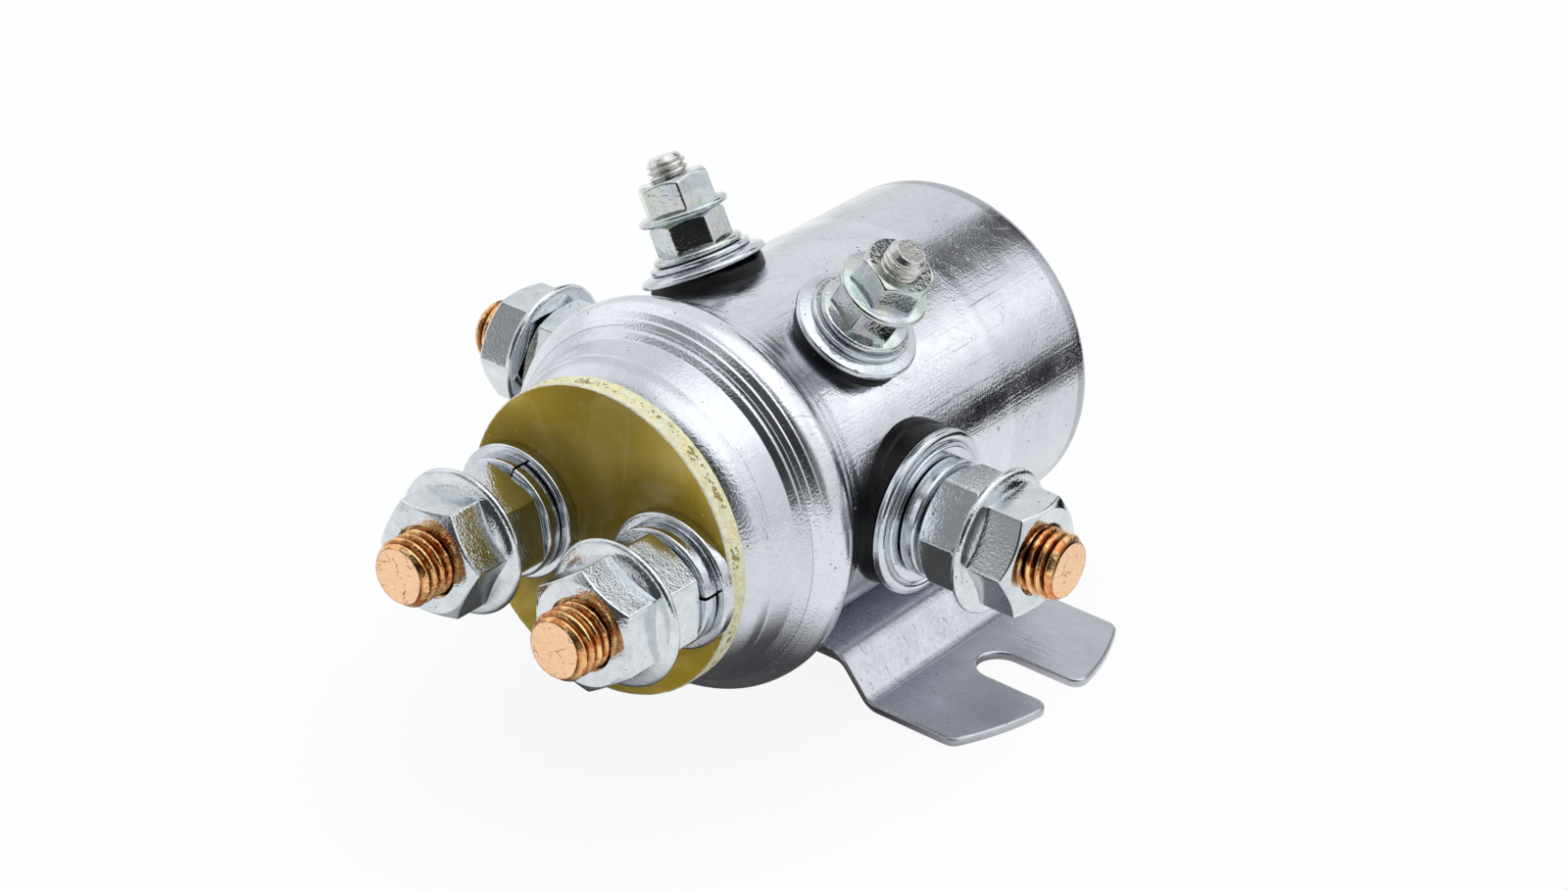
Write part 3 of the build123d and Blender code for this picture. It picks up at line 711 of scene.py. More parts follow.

# %% [markdown]
# Copper studs
#
# The stud's thread was rolled, so its crests are polished, and its grooves carry painted shade,
# a near black brown. A pattern in space can't know where the grooves are. So an attribute painted
# on the mesh says how deep in the groove each point is, which sets the painted shade, and another
# one marks the sawn and cracked end.


# %% Copper with painted shade in its grooves
def copper_finish(name):
    """Copper whose colour and gloss follow the groove and end attributes of the thread."""
    material, tree, skin, place = bare_material(name)
    groove = (add_node(tree, "ShaderNodeAttribute", attribute_name="groove"), "Fac")
    end = (add_node(tree, "ShaderNodeAttribute", attribute_name="end_face"), "Fac")
    clouds = shared(tree, CLOUDS, place, Scale=480.0, Contrast=4.5)
    grain = shared(tree, CLOUDS, place, Scale=2200.0, Contrast=2.4)
    marks = shared(tree, DRAWN, place, Stretch=(900.0,) * 3, Scale=1500.0, Grit=0.3)
    bent = noisy(tree, place, 900.0, 2.0, output="Color")
    wobble = vector(tree, "MULTIPLY_ADD", bent, (0.0012,) * 3, place)
    splits = graded(tree, cells(tree, wobble, 420.0, "DISTANCE_TO_EDGE"), 0.0, 0.045, 1.0, 0.0)
    cracks = number(tree, "MULTIPLY", splits, graded(tree, clouds, 0.45, 0.8, 0.0, 0.9))
    flank = blended(tree, clouds, (0.62, 0.20, 0.06), (1.0, 0.66, 0.30))
    # painted shade: the colour darkens towards the root of each groove
    groove_shaded = blended(tree, groove, flank, (0.09, 0.022, 0.006))
    sawn = blended(tree, grain, (0.86, 0.50, 0.28), (1.0, 0.72, 0.48))
    sawn = blended(tree, cracks, sawn, (0.30, 0.10, 0.04))
    colour = blended(tree, end, groove_shaded, sawn)
    dull = graded(tree, clouds, 0.0, 1.0, 0.14, 0.07, smooth=False)
    rough = number(tree, "MULTIPLY_ADD", end, 0.24, dull)
    normal = bumped(tree, marks, 0.00011)
    feed(tree, skin, Base_Color=colour, Metallic=1.0, Roughness=rough, Normal=normal)
    return material


finishes["stud_copper"] = copper_finish("stud_copper")
print("copper nodes", len(finishes["stud_copper"].node_tree.nodes))

# %% [markdown]
# Laminate
#
# The end board is glass laminate: a waxy olive face and a raw, fibrous, pale edge. The face
# carries painted shade in its middle, between the stacks, and a painted shadow round the two
# studs. The two are different surfaces of one piece, so they are two materials, and the board's
# faces choose between them.


# %% Laminate, its face and its sawn edge
def laminate_face(name):
    """Waxy olive laminate: paler smudges, a few pale fibres, painted shade and painted shadows."""
    material, tree, skin, place = bare_material(name)
    smudge = shared(tree, CLOUDS, place, Scale=58.0, Contrast=9.0)
    fine = shared(tree, CLOUDS, place, Scale=700.0, Contrast=1.5)
    upright = shared(tree, HAIRLINES, place, Stretch=(1500.0, 1500.0, 28.0), Amount=0.8)
    flecks = shared(tree, PITS, place, Scale=900.0, Amount=0.9)
    colour = blended(tree, smudge, (0.640, 0.440, 0.042), (0.820, 0.610, 0.115))
    # painted shade: the face darkens towards its middle, between the two stacks
    sideways = number(tree, "ABSOLUTE", part_of(tree, place, "X"))
    wear_and_shade = graded(tree, sideways, 0.003, 0.016, 0.56, 0.0)
    colour = blended(tree, wear_and_shade, colour, (0.17, 0.115, 0.010))
    flat = vector(tree, "MULTIPLY", place, (1, 0, 1))
    # painted shadow: a dark ring round each stud
    for hand in SIDES:
        shadow = (middle(f"end_stud_{hand}").x * 0.78, 0, AXIS_HEIGHT + 0.0015)
        away = vector(tree, "DISTANCE", flat, shadow)
        ring = graded(tree, away, 0.0098, 0.0165, 0.62, 0.0)
        colour = blended(tree, ring, colour, (0.11, 0.08, 0.012))
    for marks, share, tone in (
        (fine, 0.22, (0.50, 0.34, 0.03)),
        (upright, 0.40, (0.60, 0.50, 0.18)),
        (flecks, 0.7, (0.85, 0.78, 0.42)),
    ):
        colour = blended(tree, number(tree, "MULTIPLY", marks, share), colour, tone)
    feed(
        tree,
        skin,
        Base_Color=colour,
        Roughness=graded(tree, smudge, 0.2, 0.8, 0.14, 0.30),
        Specular_IOR_Level=0.10,
        Coat_Weight=number(tree, "MULTIPLY", smudge, 0.45),
        Coat_Roughness=0.10,
        Normal=bumped(tree, fine, 0.00002),
    )
    return material


def laminate_edge(name):
    """The sawn edge of the laminate: pale layers, a white front corner and brown torn specks."""
    material, tree, skin, place = bare_material(name)
    depth = part_of(tree, place, "Y")
    front_y, rear_y = disc_low.y, disc_high.y
    corner = graded(tree, depth, front_y + 0.0002, front_y + 0.0007, 1.0, 0.0)
    front = graded(tree, depth, front_y + 0.0006, front_y + 0.0012, 0.0, 1.0)
    rear = graded(tree, depth, rear_y - 0.0012, rear_y - 0.0004, 1.0, 0.0)
    layers = shared(tree, HAIRLINES, place, Stretch=(350.0, 2600.0, 350.0), Amount=1.0)
    clouds = shared(tree, CLOUDS, place, Scale=600.0, Contrast=3.0)
    torn = shared(tree, CLOUDS, place, Scale=170.0, Contrast=3.5)
    reach = graded(tree, torn, 0.05, 0.9, 0.0, 0.66, smooth=False)
    reach = number(tree, "MULTIPLY", reach, number(tree, "MULTIPLY", front, rear))
    inside = number(tree, "SUBTRACT", reach, cells(tree, place, 1700.0))
    specks = graded(tree, inside, 0.0, 0.12, 0, 1)
    colour = blended(tree, clouds, (1.0, 0.92, 0.48), (1.0, 1.0, 0.76))
    colour = blended(tree, layers, colour, (1.0, 0.98, 0.82))
    colour = blended(tree, number(tree, "MULTIPLY", specks, 0.85), colour, (0.40, 0.27, 0.06))
    colour = blended(tree, number(tree, "MULTIPLY", corner, 0.7), colour, (1.0, 0.98, 0.88))
    height = number(tree, "MULTIPLY_ADD", specks, -1.2, clouds)
    normal = bumped(tree, height, 0.00028)
    feed(tree, skin, Base_Color=colour, Roughness=0.75, Specular_IOR_Level=0.3, Normal=normal)
    return material


finishes["end_laminate"] = laminate_face("end_laminate")
finishes["sawn_laminate"] = laminate_edge("sawn_laminate")
print("laminate from", round(disc_low.y, 4), "to", round(disc_high.y, 4))

# %% [markdown]
# Rubbery black
#
# The bushes are plain black moulding with a soft sheen. One recipe with a fine satin grain
# serves them and the plastic pieces inside, each with its own colour and gloss.


# %% Moulded plastic
def moulded(name, colour, rough, specular=0.5):
    """Moulded plastic with a fine satin grain."""
    material, tree, skin, place = bare_material(name)
    grain = shared(tree, CLOUDS, place, Scale=600.0, Contrast=2.0)
    lighter = tuple(min(1, channel * 1.5 + 0.004) for channel in colour)
    feed(
        tree,
        skin,
        Base_Color=blended(tree, grain, colour, lighter),
        Roughness=graded(tree, grain, 0.2, 0.8, rough * 0.85, rough * 1.15),
        Specular_IOR_Level=specular,
        Normal=bumped(tree, grain, 0.00002),
    )
    return material


finishes["bush_black"] = moulded("bush_black", (0.003, 0.003, 0.0035), 0.42, 0.22)
print("finishes", sorted(finishes))

# %% [markdown]
# The hidden works
#
# The plunger, coil and contacts are inside the closed can. Nobody sees them in the picture, but
# they are real pieces of the relay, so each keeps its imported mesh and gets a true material.

# %% Finishes for the pieces inside
INNER_LOOKS = {
    "inner_laminate": (moulded, (0.17, 0.13, 0.05), 0.5),
    "bobbin_nylon": (moulded, (0.52, 0.48, 0.36), 0.45),
    "sleeve_nylon": (moulded, (0.46, 0.42, 0.30), 0.45),
    "pole_steel": (plated, (0.52, 0.52, 0.53), (0.36, 0.36, 0.37)),
    "shaft_steel": (plated, (0.60, 0.60, 0.61), (0.44, 0.44, 0.45)),
    "spring_steel": (plated, (0.50, 0.50, 0.52), (0.34, 0.34, 0.36)),
    "contact_copper": (plated, (0.86, 0.48, 0.27), (0.60, 0.30, 0.16)),
    "winding_copper": (plated, (0.62, 0.25, 0.11), (0.40, 0.14, 0.06)),
}
INNER_FINISHES = {name: recipe(name, *look) for name, (recipe, *look) in INNER_LOOKS.items()}
INNER_FINISHES["bush_black"] = finishes["bush_black"]
for part in frame["record"]["subparts"]:
    inner_finish = INNER_FINISHES.get(part["material_slot"])
    if inner_finish:
        materials = frame["nodes"][part["node"]].data.materials
        materials.clear()
        materials.append(inner_finish)
print("inner finishes", len(INNER_FINISHES))

# %% [markdown]
# Springs
#
# A spring's two ends follow two different parts of the relay. The return spring stands between
# the plunger and the fixed core. Each contact spring stands between its disc and the seat on
# the shaft. Each spring's copy is its imported mesh, merged and smoothly shaded, left in place.

# %% Copy each spring and hide its imported piece
SPRINGS = (
    ("return_spring", "plunger", "housing"),
    ("closed_contact_spring", "closed_contact", "plunger"),
    ("open_contact_spring", "plunger", "open_contact"),
)
for node, front_body, rear_body in SPRINGS:
    low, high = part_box(node)
    shape = bmesh.new()
    shape.from_mesh(frame["nodes"][node].data)
    merged(shape, SAME_POINT * MM)
    spring = object_from(shape, f"{node}_skin", INNER_FINISHES["spring_steel"])
    spring.data.shade_smooth()
    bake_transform(spring)
    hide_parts(node)
    made.append(spring)
    print(node, "length", round((high.y - low.y) / MM, 1), "mm")

# %% [markdown]
# The can
#
# A press draws the can from sheet steel, swells its mouth over the cap's flange and folds the
# lip inwards. The whole wall is one section from the folded lip to the closed rear. Two faint
# steps behind the bead are left by the swelling tool.

# %% Turn the can
WALL = 1.2
REAR_BAND = 4.0
lip, can_rear, _, bead_crest = extent("can_housing", barrel)
can_points = measured("can_housing", barrel)
can_radius = max(point[1] for point in can_points if point[0] > can_rear - REAR_BAND)
can_section = [
    (27.02, lip + 0.9, 0.0),
    (27.04, lip - 0.18, 0.08),
    (27.74, lip + 0.40, 0.10),
    (27.80, lip + 0.62, 0.10),
    (28.70, lip + 1.42, 0.12),
    (28.78, lip + 1.62, 0.12),
    (29.40, lip + 2.35, 0.6),
    (bead_crest, lip + 3.9, 1.0),
    (bead_crest - 0.15, lip + 5.6, 1.2),
    (28.5, lip + 7.1, 0.8),
    (can_radius + 0.80, lip + 8.1, 0.6),
    (can_radius + 0.62, lip + 9.1, 0.4),
    (can_radius + 0.46, lip + 9.5, 0.4),
    (can_radius + 0.36, lip + 10.4, 0.4),
    (can_radius + 0.24, lip + 10.8, 0.4),
    (can_radius + 0.14, lip + 11.8, 0.5),
    (can_radius, lip + 12.6, 0.5),
    (can_radius, can_rear - 21.5, 0.5),
    (can_radius - 0.08, can_rear - 20.0, 0.5),
    (can_radius - 0.04, can_rear - 2.5, 0.0),
    (can_radius - 0.04, can_rear, 2.0),
    (0.0, can_rear, 0.0),
    (0.0, can_rear - WALL, 0.0),
    (can_radius - WALL, can_rear - WALL, 0.8),
    (can_radius - WALL, lip + 7.6, 0.3),
    (28.4, lip + 6.4, 0.5),
    (28.4, lip + 1.9, 0.3),
    (27.02, lip + 1.0, 0.0),
]
placed(spun(can_section, 256), "can_housing", barrel, "can_zinc", "can_skin")

# %% [markdown]
# The end cap
#
# The cap is pressed from thicker sheet. Seen from the front it has a crease near the board, a
# swelling band, and a groove and ridge just before the can's lip. Only the section changes, so
# it is turned like the can.

# %% Turn the cap
CAP_WALL = 1.4
cap_front = extent("end_cap", barrel)[0]
cap_section = [
    (0.0, cap_front, 0.0),
    (22.7, cap_front, 0.3),
    (23.95, cap_front + 1.50, 1.0),
    (24.42, cap_front + 2.80, 1.2),
    (24.55, cap_front + 4.5, 0.25),
    (24.72, cap_front + 4.75, 0.2),
    (25.45, cap_front + 8.0, 1.2),
    (25.60, cap_front + 8.70, 0.2),
    (26.45, cap_front + 9.50, 0.12),
    (26.60, cap_front + 9.85, 0.12),
    (27.02, cap_front + 10.20, 0.10),
    (27.02, cap_front + 11.4, 0.0),
    (25.2, cap_front + 11.4, 0.0),
    (24.3, cap_front + 9.0, 0.3),
    (23.1, cap_front + 4.6, 0.5),
    (21.5, cap_front + CAP_WALL, 0.3),
    (0.0, cap_front + CAP_WALL, 0.0),
]
placed(spun(cap_section, 224), "end_cap", barrel, "cap_zinc", "cap_skin")

# %% [markdown]
# The end board
#
# The board is sawn from laminate sheet. Its face is flat and its edge is torn by the saw, so
# the edge ring gets its own material and a small random roughness in the mesh itself. The ring
# has many short faces for that, and the face needs only a few.

# %% Saw the end board
RIM_CUTS = 9
LEAST_TORN, TORN_SPREAD = 0.03, 0.22


def away_from_axis(vertex):
    """How far a point lies from the Z axis."""
    return hypot(*vertex.co.xy)


def drawn_in(vertex, share):
    """Moves a point towards the Z axis, to a share of its distance."""
    vertex.co.x *= share
    vertex.co.y *= share


board_low, board_high, _, board_radius = extent("end_disc", barrel)
board_section = [
    (0.0, board_low, 0.0),
    (board_radius - 0.20, board_low, 0.04),
    (board_radius, board_low + 0.20, 0.05),
    (board_radius, board_high, 0.2),
    (0.0, board_high, 0.0),
]
board = spun(board_section, 360)
rim_edges = [
    edge
    for edge in board.edges
    if min(away_from_axis(vertex) for vertex in edge.verts) > board_radius - 0.05
    and abs(edge.verts[0].co.z - edge.verts[1].co.z) > 1.0
]
bmesh.ops.subdivide_edges(board, edges=rim_edges, cuts=RIM_CUTS, use_grid_fill=True)
for vertex in board.verts:
    if away_from_axis(vertex) > board_radius - 0.3:
        torn = noise.noise(vertex.co * 1.9) * 0.5 + noise.noise(vertex.co * 4.3) * 0.5
        drawn_in(vertex, 1 - (LEAST_TORN + TORN_SPREAD * abs(torn)) / board_radius)
for face in board.faces:
    face.material_index = 1 if hypot(face.normal.x, face.normal.y) > 0.35 else 0
board_finish = [finishes["end_laminate"], finishes["sawn_laminate"]]
placed(board, "end_disc", barrel, "end_laminate", "end_board", board_finish, crease=60)

# %% [markdown]
# The bracket
#
# The bracket's outline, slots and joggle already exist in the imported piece. Its edges are the
# only thing to add: a stamped strip has rolled-over edges that catch the light. A copy of the
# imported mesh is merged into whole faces, and every sharp edge is rounded.


# %% Round the edges of the bracket
BRACKET_EDGE = 0.45
NEARLY_FLAT = radians(1.5)
SHARP_FOLD = radians(40)


def sharp_edges(shape, beyond=0.0):
    """The edges that fold sharply and reach beyond a radius."""
    return [
        edge
        for edge in shape.edges
        if edge.is_manifold
        and edge.calc_face_angle() > SHARP_FOLD
        and max(away_from_axis(vertex) for vertex in edge.verts) > beyond
    ]


bracket = bmesh.new()
bracket.from_mesh(frame["nodes"]["mounting_bracket"].data)
bmesh.ops.scale(bracket, vec=(1 / MM,) * 3, verts=bracket.verts)
bmesh.ops.remove_doubles(bracket, verts=bracket.verts, dist=SAME_POINT)
bmesh.ops.dissolve_limit(
    bracket, angle_limit=NEARLY_FLAT, verts=bracket.verts, edges=bracket.edges
)
rounded(bracket, sharp_edges(bracket), BRACKET_EDGE)
placed(
    bracket, "mounting_bracket", Matrix.Identity(4), "bracket_zinc", "bracket_skin", crease=30
)

# %% [markdown]
# Threads
#
# A rolled thread is one section screwed along the stud: the spin operator climbs by one pitch
# a turn. Its two ends are cut square, the tip is turned to a cone by drawing in the points that
# stand outside it, and both ends are closed. The groove attribute is painted from each point's
# radius.

# %% Screw a thread
# shares of the thread's depth and of its pitch
THREAD_PROFILE = (
    (0.0, 0.0), (0.10, 0.06), (0.62, 0.22), (0.92, 0.34), (1.0, 0.46),
    (1.0, 0.56), (0.92, 0.68), (0.62, 0.80), (0.10, 0.96), (0.0, 1.0),
)
THREAD_STEPS = 72
THREAD_START = radians(40)
TIP_SLOPE = tan(radians(52))
TURN_SEAM = 0.002


def turned_by(shape, angle):
    """Turns a shape about Z."""
    turn = Matrix.Rotation(angle, 3, "Z")
    bmesh.ops.rotate(shape, cent=(0, 0, 0), matrix=turn, verts=shape.verts)


def cut_past(shape, height, side=1):
    """Cuts away what lies above a height, or below it for side -1."""
    bmesh.ops.bisect_plane(
        shape,
        geom=shape.verts[:] + shape.edges[:] + shape.faces[:],
        plane_co=(0, 0, height),
        plane_no=(0, 0, side),
        clear_outer=True,
    )


def open_edges(shape):
    """The edges round a hole or an open end."""
    return [edge for edge in shape.edges if edge.is_boundary]


def threaded(low, high, radius, pitch, depth, tip):
    """A threaded rod between two heights, with its tip turned to a cone."""
    root = radius - depth
    turns = int((high - low) / pitch) + 2
    shape = bmesh.new()
    profile = [(root + depth * out, pitch * up, 0.0) for out, up in THREAD_PROFILE]
    outline_in(shape, profile, closed=False)
    bmesh.ops.translate(shape, vec=(0, 0, low - pitch), verts=shape.verts)
    turned_by(shape, THREAD_START)
    swept(shape, 2 * pi * turns, THREAD_STEPS * turns, pitch / THREAD_STEPS)
    bmesh.ops.remove_doubles(shape, verts=shape.verts, dist=TURN_SEAM)
    groove = shape.verts.layers.float.new("groove")
    end_face = shape.verts.layers.float.new("end_face")
    for vertex in shape.verts:
        depth_here = (radius - away_from_axis(vertex)) / depth
        # painted shade: the groove attribute rises towards the thread's root
        vertex[groove] = max(0.0, min(1.0, depth_here * 1.6 - 0.25))
        wear_and_shade = max(0.0, noise.noise(vertex.co * 0.9 + Vector((THREAD_START, 7, 3))))
        drawn_in(vertex, 1 - depth * 0.16 * wear_and_shade / radius)
    cut_past(shape, low, -1)
    cut_past(shape, high)
    for vertex in shape.verts:
        allowed = radius - tip + (high - vertex.co.z) / TIP_SLOPE
        reach = away_from_axis(vertex)
        if reach > allowed:
            drawn_in(vertex, allowed / reach)
            vertex[groove] *= 0.3
    ends = bmesh.ops.contextual_create(shape, geom=open_edges(shape))["faces"]
    top = [face for face in ends if abs(face.calc_center_median().z - high) < 0.01]
    for face in top:
        for vertex in face.verts:
            vertex[groove] = 0.9 if noise.noise(vertex.co * 1.3) > -0.1 else 0.3
    bmesh.ops.inset_individual(shape, faces=top, thickness=tip * 0.22, depth=0.0)
    for face in top:
        for vertex in face.verts:
            vertex[end_face] = 1.0
            vertex[groove] = 0.0
    bmesh.ops.recalc_face_normals(shape, faces=shape.faces)
    return shape


def added(shape, other):
    """Adds another shape's mesh to a shape."""
    scratch = bpy.data.meshes.new("scratch")
    other.to_mesh(scratch)
    other.free()
    shape.from_mesh(scratch)
    bpy.data.meshes.remove(scratch)


sample = threaded(0.0, 5.4, 5.0, 1.5, 0.85, 1.0)
print("thread faces", len(sample.faces), "open edges", len(open_edges(sample)))
sample.free()

# %% [markdown]
# Nuts
#
# A nut starts as a hexagon whose sides are divided into short pieces. Its top corners are
# turned off by lowering each point by how far it stands outside the inscribed circle, which
# gives the curved lines that a real chamfered nut shows. The rim is then drawn in to that
# circle, to the countersink and down the bore. Last, the upright edges are softened.

# %% Form a hexagon nut
TURNED = 0.955  # where the chamfer starts, as a share of the inscribed circle
CHAMFER_SLOPE = tan(radians(30))
HEX_PIECES = 16
SOFT_CORNER = 0.25
WIDE_END, NARROW_START = 1.6, 1.8  # depths below the countersink where the bore steps in


def hexagon_nut(low, high, bore, flats, countersink, angle, both_ends):
    """A chamfered and countersunk nut with a corner at an angle."""
    flat = flats / 2
    wide_bore = bore + countersink * 0.4
    turned_circle = flat * TURNED
    shape = bmesh.new()
    bmesh.ops.create_circle(shape, segments=6, radius=flats / sqrt(3), cap_ends=False)
    offset = min(atan2(vertex.co.y, vertex.co.x) % radians(60) for vertex in shape.verts)
    turned_by(shape, angle - offset)
    bmesh.ops.translate(shape, vec=(0, 0, low), verts=shape.verts)
    bmesh.ops.subdivide_edges(shape, edges=shape.edges, cuts=HEX_PIECES - 1)

    def lifted(point, end, sign):
        """A point on the cone that turns off the corners at one end."""
        outside = max(0.0, hypot(*point.xy) - turned_circle)
        return Vector((point.x, point.y, end - sign * outside * CHAMFER_SLOPE))

    def ring_above(edges, place):
        """Extrudes a ring of edges and places each new point by the old one."""
        result = bmesh.ops.extrude_edge_only(shape, edges=edges)["geom"]
        for item in result:
            if isinstance(item, bmesh.types.BMVert):
                item.co = place(item.co.copy())
        return [item for item in result if isinstance(item, bmesh.types.BMEdge)]

    if both_ends:
        for vertex in shape.verts:
            vertex.co = lifted(vertex.co, low, -1)
    bottom = shape.edges[:]
    ring = ring_above(bottom, lambda point: lifted(point, high, 1))
    inwards = [(turned_circle, high), (bore + countersink, high)]
    inwards += [(wide_bore, high - countersink), (wide_bore, high - countersink - WIDE_END)]
    inwards += [(bore, high - countersink - NARROW_START), (bore, low)]
    if both_ends:
        inwards.append((turned_circle, low))
    for radius, height in inwards:
        ring = ring_above(ring, lambda point: Vector((*(point.xy.normalized() * radius), height)))
    bmesh.ops.bridge_loops(shape, edges=ring + bottom)
    merged(shape)
    rounded(shape, sharp_edges(shape, flat * 0.99), SOFT_CORNER)
    return shape


sample = hexagon_nut(0.0, 6.0, 4.2, 16.0, 0.85, 0.0, True)
print("hexagon nut faces", len(sample.faces), "open edges", len(open_edges(sample)))
sample.free()


# %% Form a flange and read a nut's turn
def corner_angle(node, seat, corner):
    """The angle of a packed nut's corner, from the point nearest to the corner's radius."""
    points = measured(node, seat)
    lowest = min(point[0] for point in points)
    found = min(points, key=lambda point: abs(point[1] - corner) + 0.001 * (point[0] - lowest))
    return found[2]


def flange(low, edge, bore, radius, flats):
    """A nut's round flange: a rounded rim and a gentle hollow slope up to the hexagon."""
    flat = flats / 2
    rim = edge * 0.7
    rise = (radius - flat) * 0.30
    return spun(
        [
            (bore, low, 0.0),
            (radius - rim, low, 0.0),
            (radius, low + rim * 0.25, rim * 0.6),
            (radius, low + edge, rim * 0.75),
            (flat + 1.0, low + edge + rise * 0.35, 0.6),
            (flat - 0.1, low + edge + rise, 0.3),
            (bore, low + edge + rise, 0.0),
        ],
        112,
    )


print("a corner at", round(corner_angle("end_hex_nut_left", seats["end", "left"], 9.24), 2))

# %% Make the nuts of every stack
# the stack's nuts, their flats, countersink and flange edge, and their finish
HEAVY_NUTS = (("hex_nut", "flange_nut"), 16.0, 0.85, 1.3, "nut_zinc")
NUTS = {
    "end": HEAVY_NUTS,
    "side": HEAVY_NUTS,
    "coil": (("lower_nut", "upper_nut"), 10.0, 0.55, 1.05, "coil_nut_zinc"),
}
for (kind, hand), seat in seats.items():
    names, flats, countersink, edge, slot = NUTS[kind]
    corner = flats / sqrt(3)
    for name in names:
        node = f"{kind}_{name}_{hand}"
        low, high, bore, radius = extent(node, seat)
        angle = corner_angle(node, seat, corner)
        flanged = radius > corner + 0.2
        nut = hexagon_nut(low, high, bore, flats, countersink, angle, not flanged)
        if flanged:
            added(nut, flange(low, edge, bore, radius, flats))
        placed(nut, node, seat, slot, crease=28)

# %% [markdown]
# Washers
#
# Flat washers are stamped, so one rim is rounded and the other is sharper. The side washers are
# a thick ring with a rolled rim, a groove and a smaller ring inside it. A spring washer is a
# bar of steel bent into one turn with a small climb, and its two cut ends stay open.

# %% Stamp the washers
SPRING_CLIMB = 0.22
SPRING_SPLIT = 0.35
SPRING_STEPS = 96
SPLIT_ANGLES = {"end_left": 78, "end_right": 12, "side_left": 300, "side_right": 250}


def flat_washer(node, seat, slot, upper=0.5, lower=0.2):
    """A flat washer with its rims rounded."""
    low, high, bore, radius = extent(node, seat)
    outline = [(bore, low, 0.1), (radius, low, lower), (radius, high, upper), (bore, high, 0.2)]
    placed(spun(outline), node, seat, slot, finish=[finishes["washer_zinc"]])


def spring_washer(node, seat, angle):
    """One open turn of square bar, climbing a little from end to end."""
    low, high, bore, radius = extent(node, seat)
    low, high = low + 0.05, high - SPRING_CLIMB
    outline = [(bore, low, 0.3), (radius, low, 0.35), (radius, high, 0.45), (bore, high, 0.3)]
    shape = bmesh.new()
    outline_in(shape, outline)
    gap = 2 * atan2(SPRING_SPLIT / 2, (bore + radius) / 2)
    turned_by(shape, angle + gap / 2)
    swept(shape, 2 * pi - gap, SPRING_STEPS, SPRING_CLIMB / SPRING_STEPS)
    bmesh.ops.holes_fill(shape, edges=open_edges(shape), sides=0)
    bmesh.ops.recalc_face_normals(shape, faces=shape.faces)
    placed(shape, node, seat, "washer_zinc")


def rolled_washer(node, seat):
    """A thick washer with a rolled rim, a groove and a smaller ring."""
    low, high, bore, radius = extent(node, seat)
    outline = [
        (bore, low, 0.1),
        (radius - 0.5, low, 0.5),
        (radius, low + 0.9, 0.6),
        (radius - 0.3, high - 0.45, 0.6),
        (radius - 1.3, high - 0.25, 0.4),
        (radius - 1.9, high - 0.85, 0.25),
        (radius - 2.1, high - 0.85, 0.15),
        (radius - 2.2, high, 0.35),
        (bore, high, 0.1),
    ]
    placed(spun(outline), node, seat, "washer_zinc")


def crowned_washer(node, seat):
    """A washer whose top slopes up to the washer above it."""
    low, high, bore, radius = extent(node, seat)
    outline = [
        (bore, low, 0.0),
        (radius, low, 0.25),
        (radius, low + 0.75, 0.45),
        (radius - 2.0, high, 0.8),
        (bore, high, 0.0),
    ]
    placed(spun(outline), node, seat, "coil_nut_zinc", finish=[finishes["washer_zinc"]])


for hand in SIDES:
    flat_washer(f"end_washer_{hand}", seats["end", hand], "washer_zinc")
    for kind in ("end", "side"):
        angle = radians(SPLIT_ANGLES[f"{kind}_{hand}"])
        spring_washer(f"{kind}_lock_washer_{hand}", seats[kind, hand], angle)
    rolled_washer(f"side_washer_{hand}", seats["side", hand])
    crowned_washer(f"coil_washer_{hand}", seats["coil", hand])
    flat_washer(f"coil_spacer_{hand}", seats["coil", hand], "coil_nut_zinc", 0.35, 0.15)

# %% [markdown]
# Studs
#
# Each stud is a plain shank inside the relay and a thread where it shows. The shank starts at
# its head or contact block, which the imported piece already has, so its copy carries the thread.

# %% Cut the studs
SHANK_BELOW, THREAD_BELOW = 1.4, 2.4  # where the shank ends and the thread starts, in the nut
# painted shade for the shank hidden in the nut, as a share of the groove colour
SHANK_SHADE = 0.6
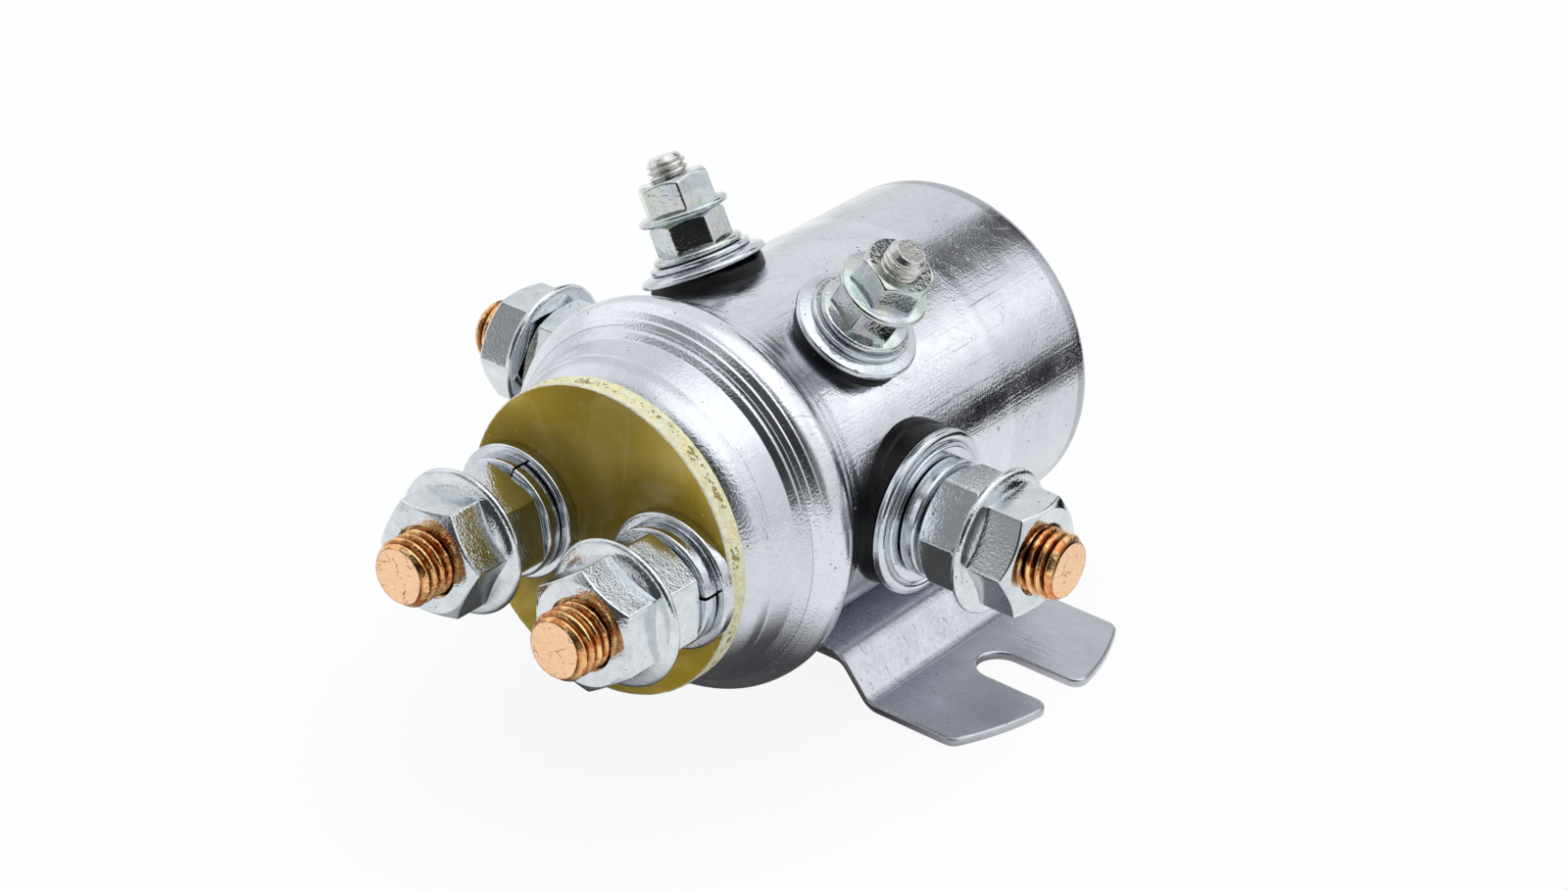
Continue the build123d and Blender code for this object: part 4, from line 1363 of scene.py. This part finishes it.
# the thread's pitch and depth, how far the tip is turned in, and the finish
HEAVY_THREAD = (1.6, 1.05, 0.85, "stud_copper")
THREADS = {
    "end": HEAVY_THREAD,
    "side": HEAVY_THREAD,
    "coil": (1.0, 0.55, 0.82, "coil_stud_nickel"),
}
for (kind, hand), seat in seats.items():
    node = f"{kind}_stud_{hand}"
    last_nut = NUTS[kind][0][-1]
    nut_end = extent(f"{kind}_{last_nut}_{hand}", seat)[1]
    high = extent(node, seat)[1]
    radius = max(point[1] for point in measured(node, seat) if point[0] > nut_end + 1)
    stud = bmesh.new()
    stud.from_mesh(frame["nodes"][node].data)
    to_seat = Matrix.Scale(1 / MM, 4) @ seat.inverted()
    bmesh.ops.transform(stud, matrix=to_seat, verts=stud.verts)
    bmesh.ops.remove_doubles(stud, verts=stud.verts, dist=SAME_POINT)
    cut_past(stud, nut_end - SHANK_BELOW)
    bmesh.ops.holes_fill(stud, edges=open_edges(stud), sides=0)
    groove = stud.verts.layers.float.new("groove")
    stud.verts.layers.float.new("end_face")
    for vertex in stud.verts:
        vertex[groove] = SHANK_SHADE
    *thread, slot = THREADS[kind]
    added(stud, threaded(nut_end - THREAD_BELOW, high, radius, *thread))
    placed(stud, node, seat, slot, crease=50)

# %% [markdown]
# Bushes
#
# A bush insulates each stud from the can. Its top is flat under the washer and its foot is
# hollowed to sit on the round wall. A plain cylinder is made first, and the points of its foot
# are then dropped on to the can.

# %% Mould the bushes
SUNK = 0.4
SKIRT = 1.7


def saddle(node, seat):
    """A round bush whose foot follows the can's wall."""
    low, high, bore, radius = extent(node, seat)
    foot = can_radius - SUNK
    shape = spun(
        [
            (bore, foot, 0.0),
            (radius, foot, 0.0),
            (radius, foot + SKIRT, 0.35),
            (radius - 0.25, foot + SKIRT + 0.3, 0.15),
            (radius - 0.2, high, 0.25),
            (bore, high, 0.0),
        ]
    )
    for vertex in shape.verts:
        if vertex.co.z < foot + SKIRT + 0.4:
            share = 1.0 if vertex.co.z < foot + 0.1 else 0.85
            drop = foot - sqrt(max(0.0, foot**2 - vertex.co.y**2))
            vertex.co.z -= drop * share
            if away_from_axis(vertex) > radius - 0.6 and vertex.co.z > foot - 3:
                vertex.co.z += 0.22 * noise.noise(vertex.co * 0.55)
    placed(shape, node, seat, "bush_black")


for hand in SIDES:
    saddle(f"side_outer_bush_{hand}", seats["side", hand])
    saddle(f"coil_outer_bush_{hand}", seats["coil", hand])
print("pieces made", len(made))
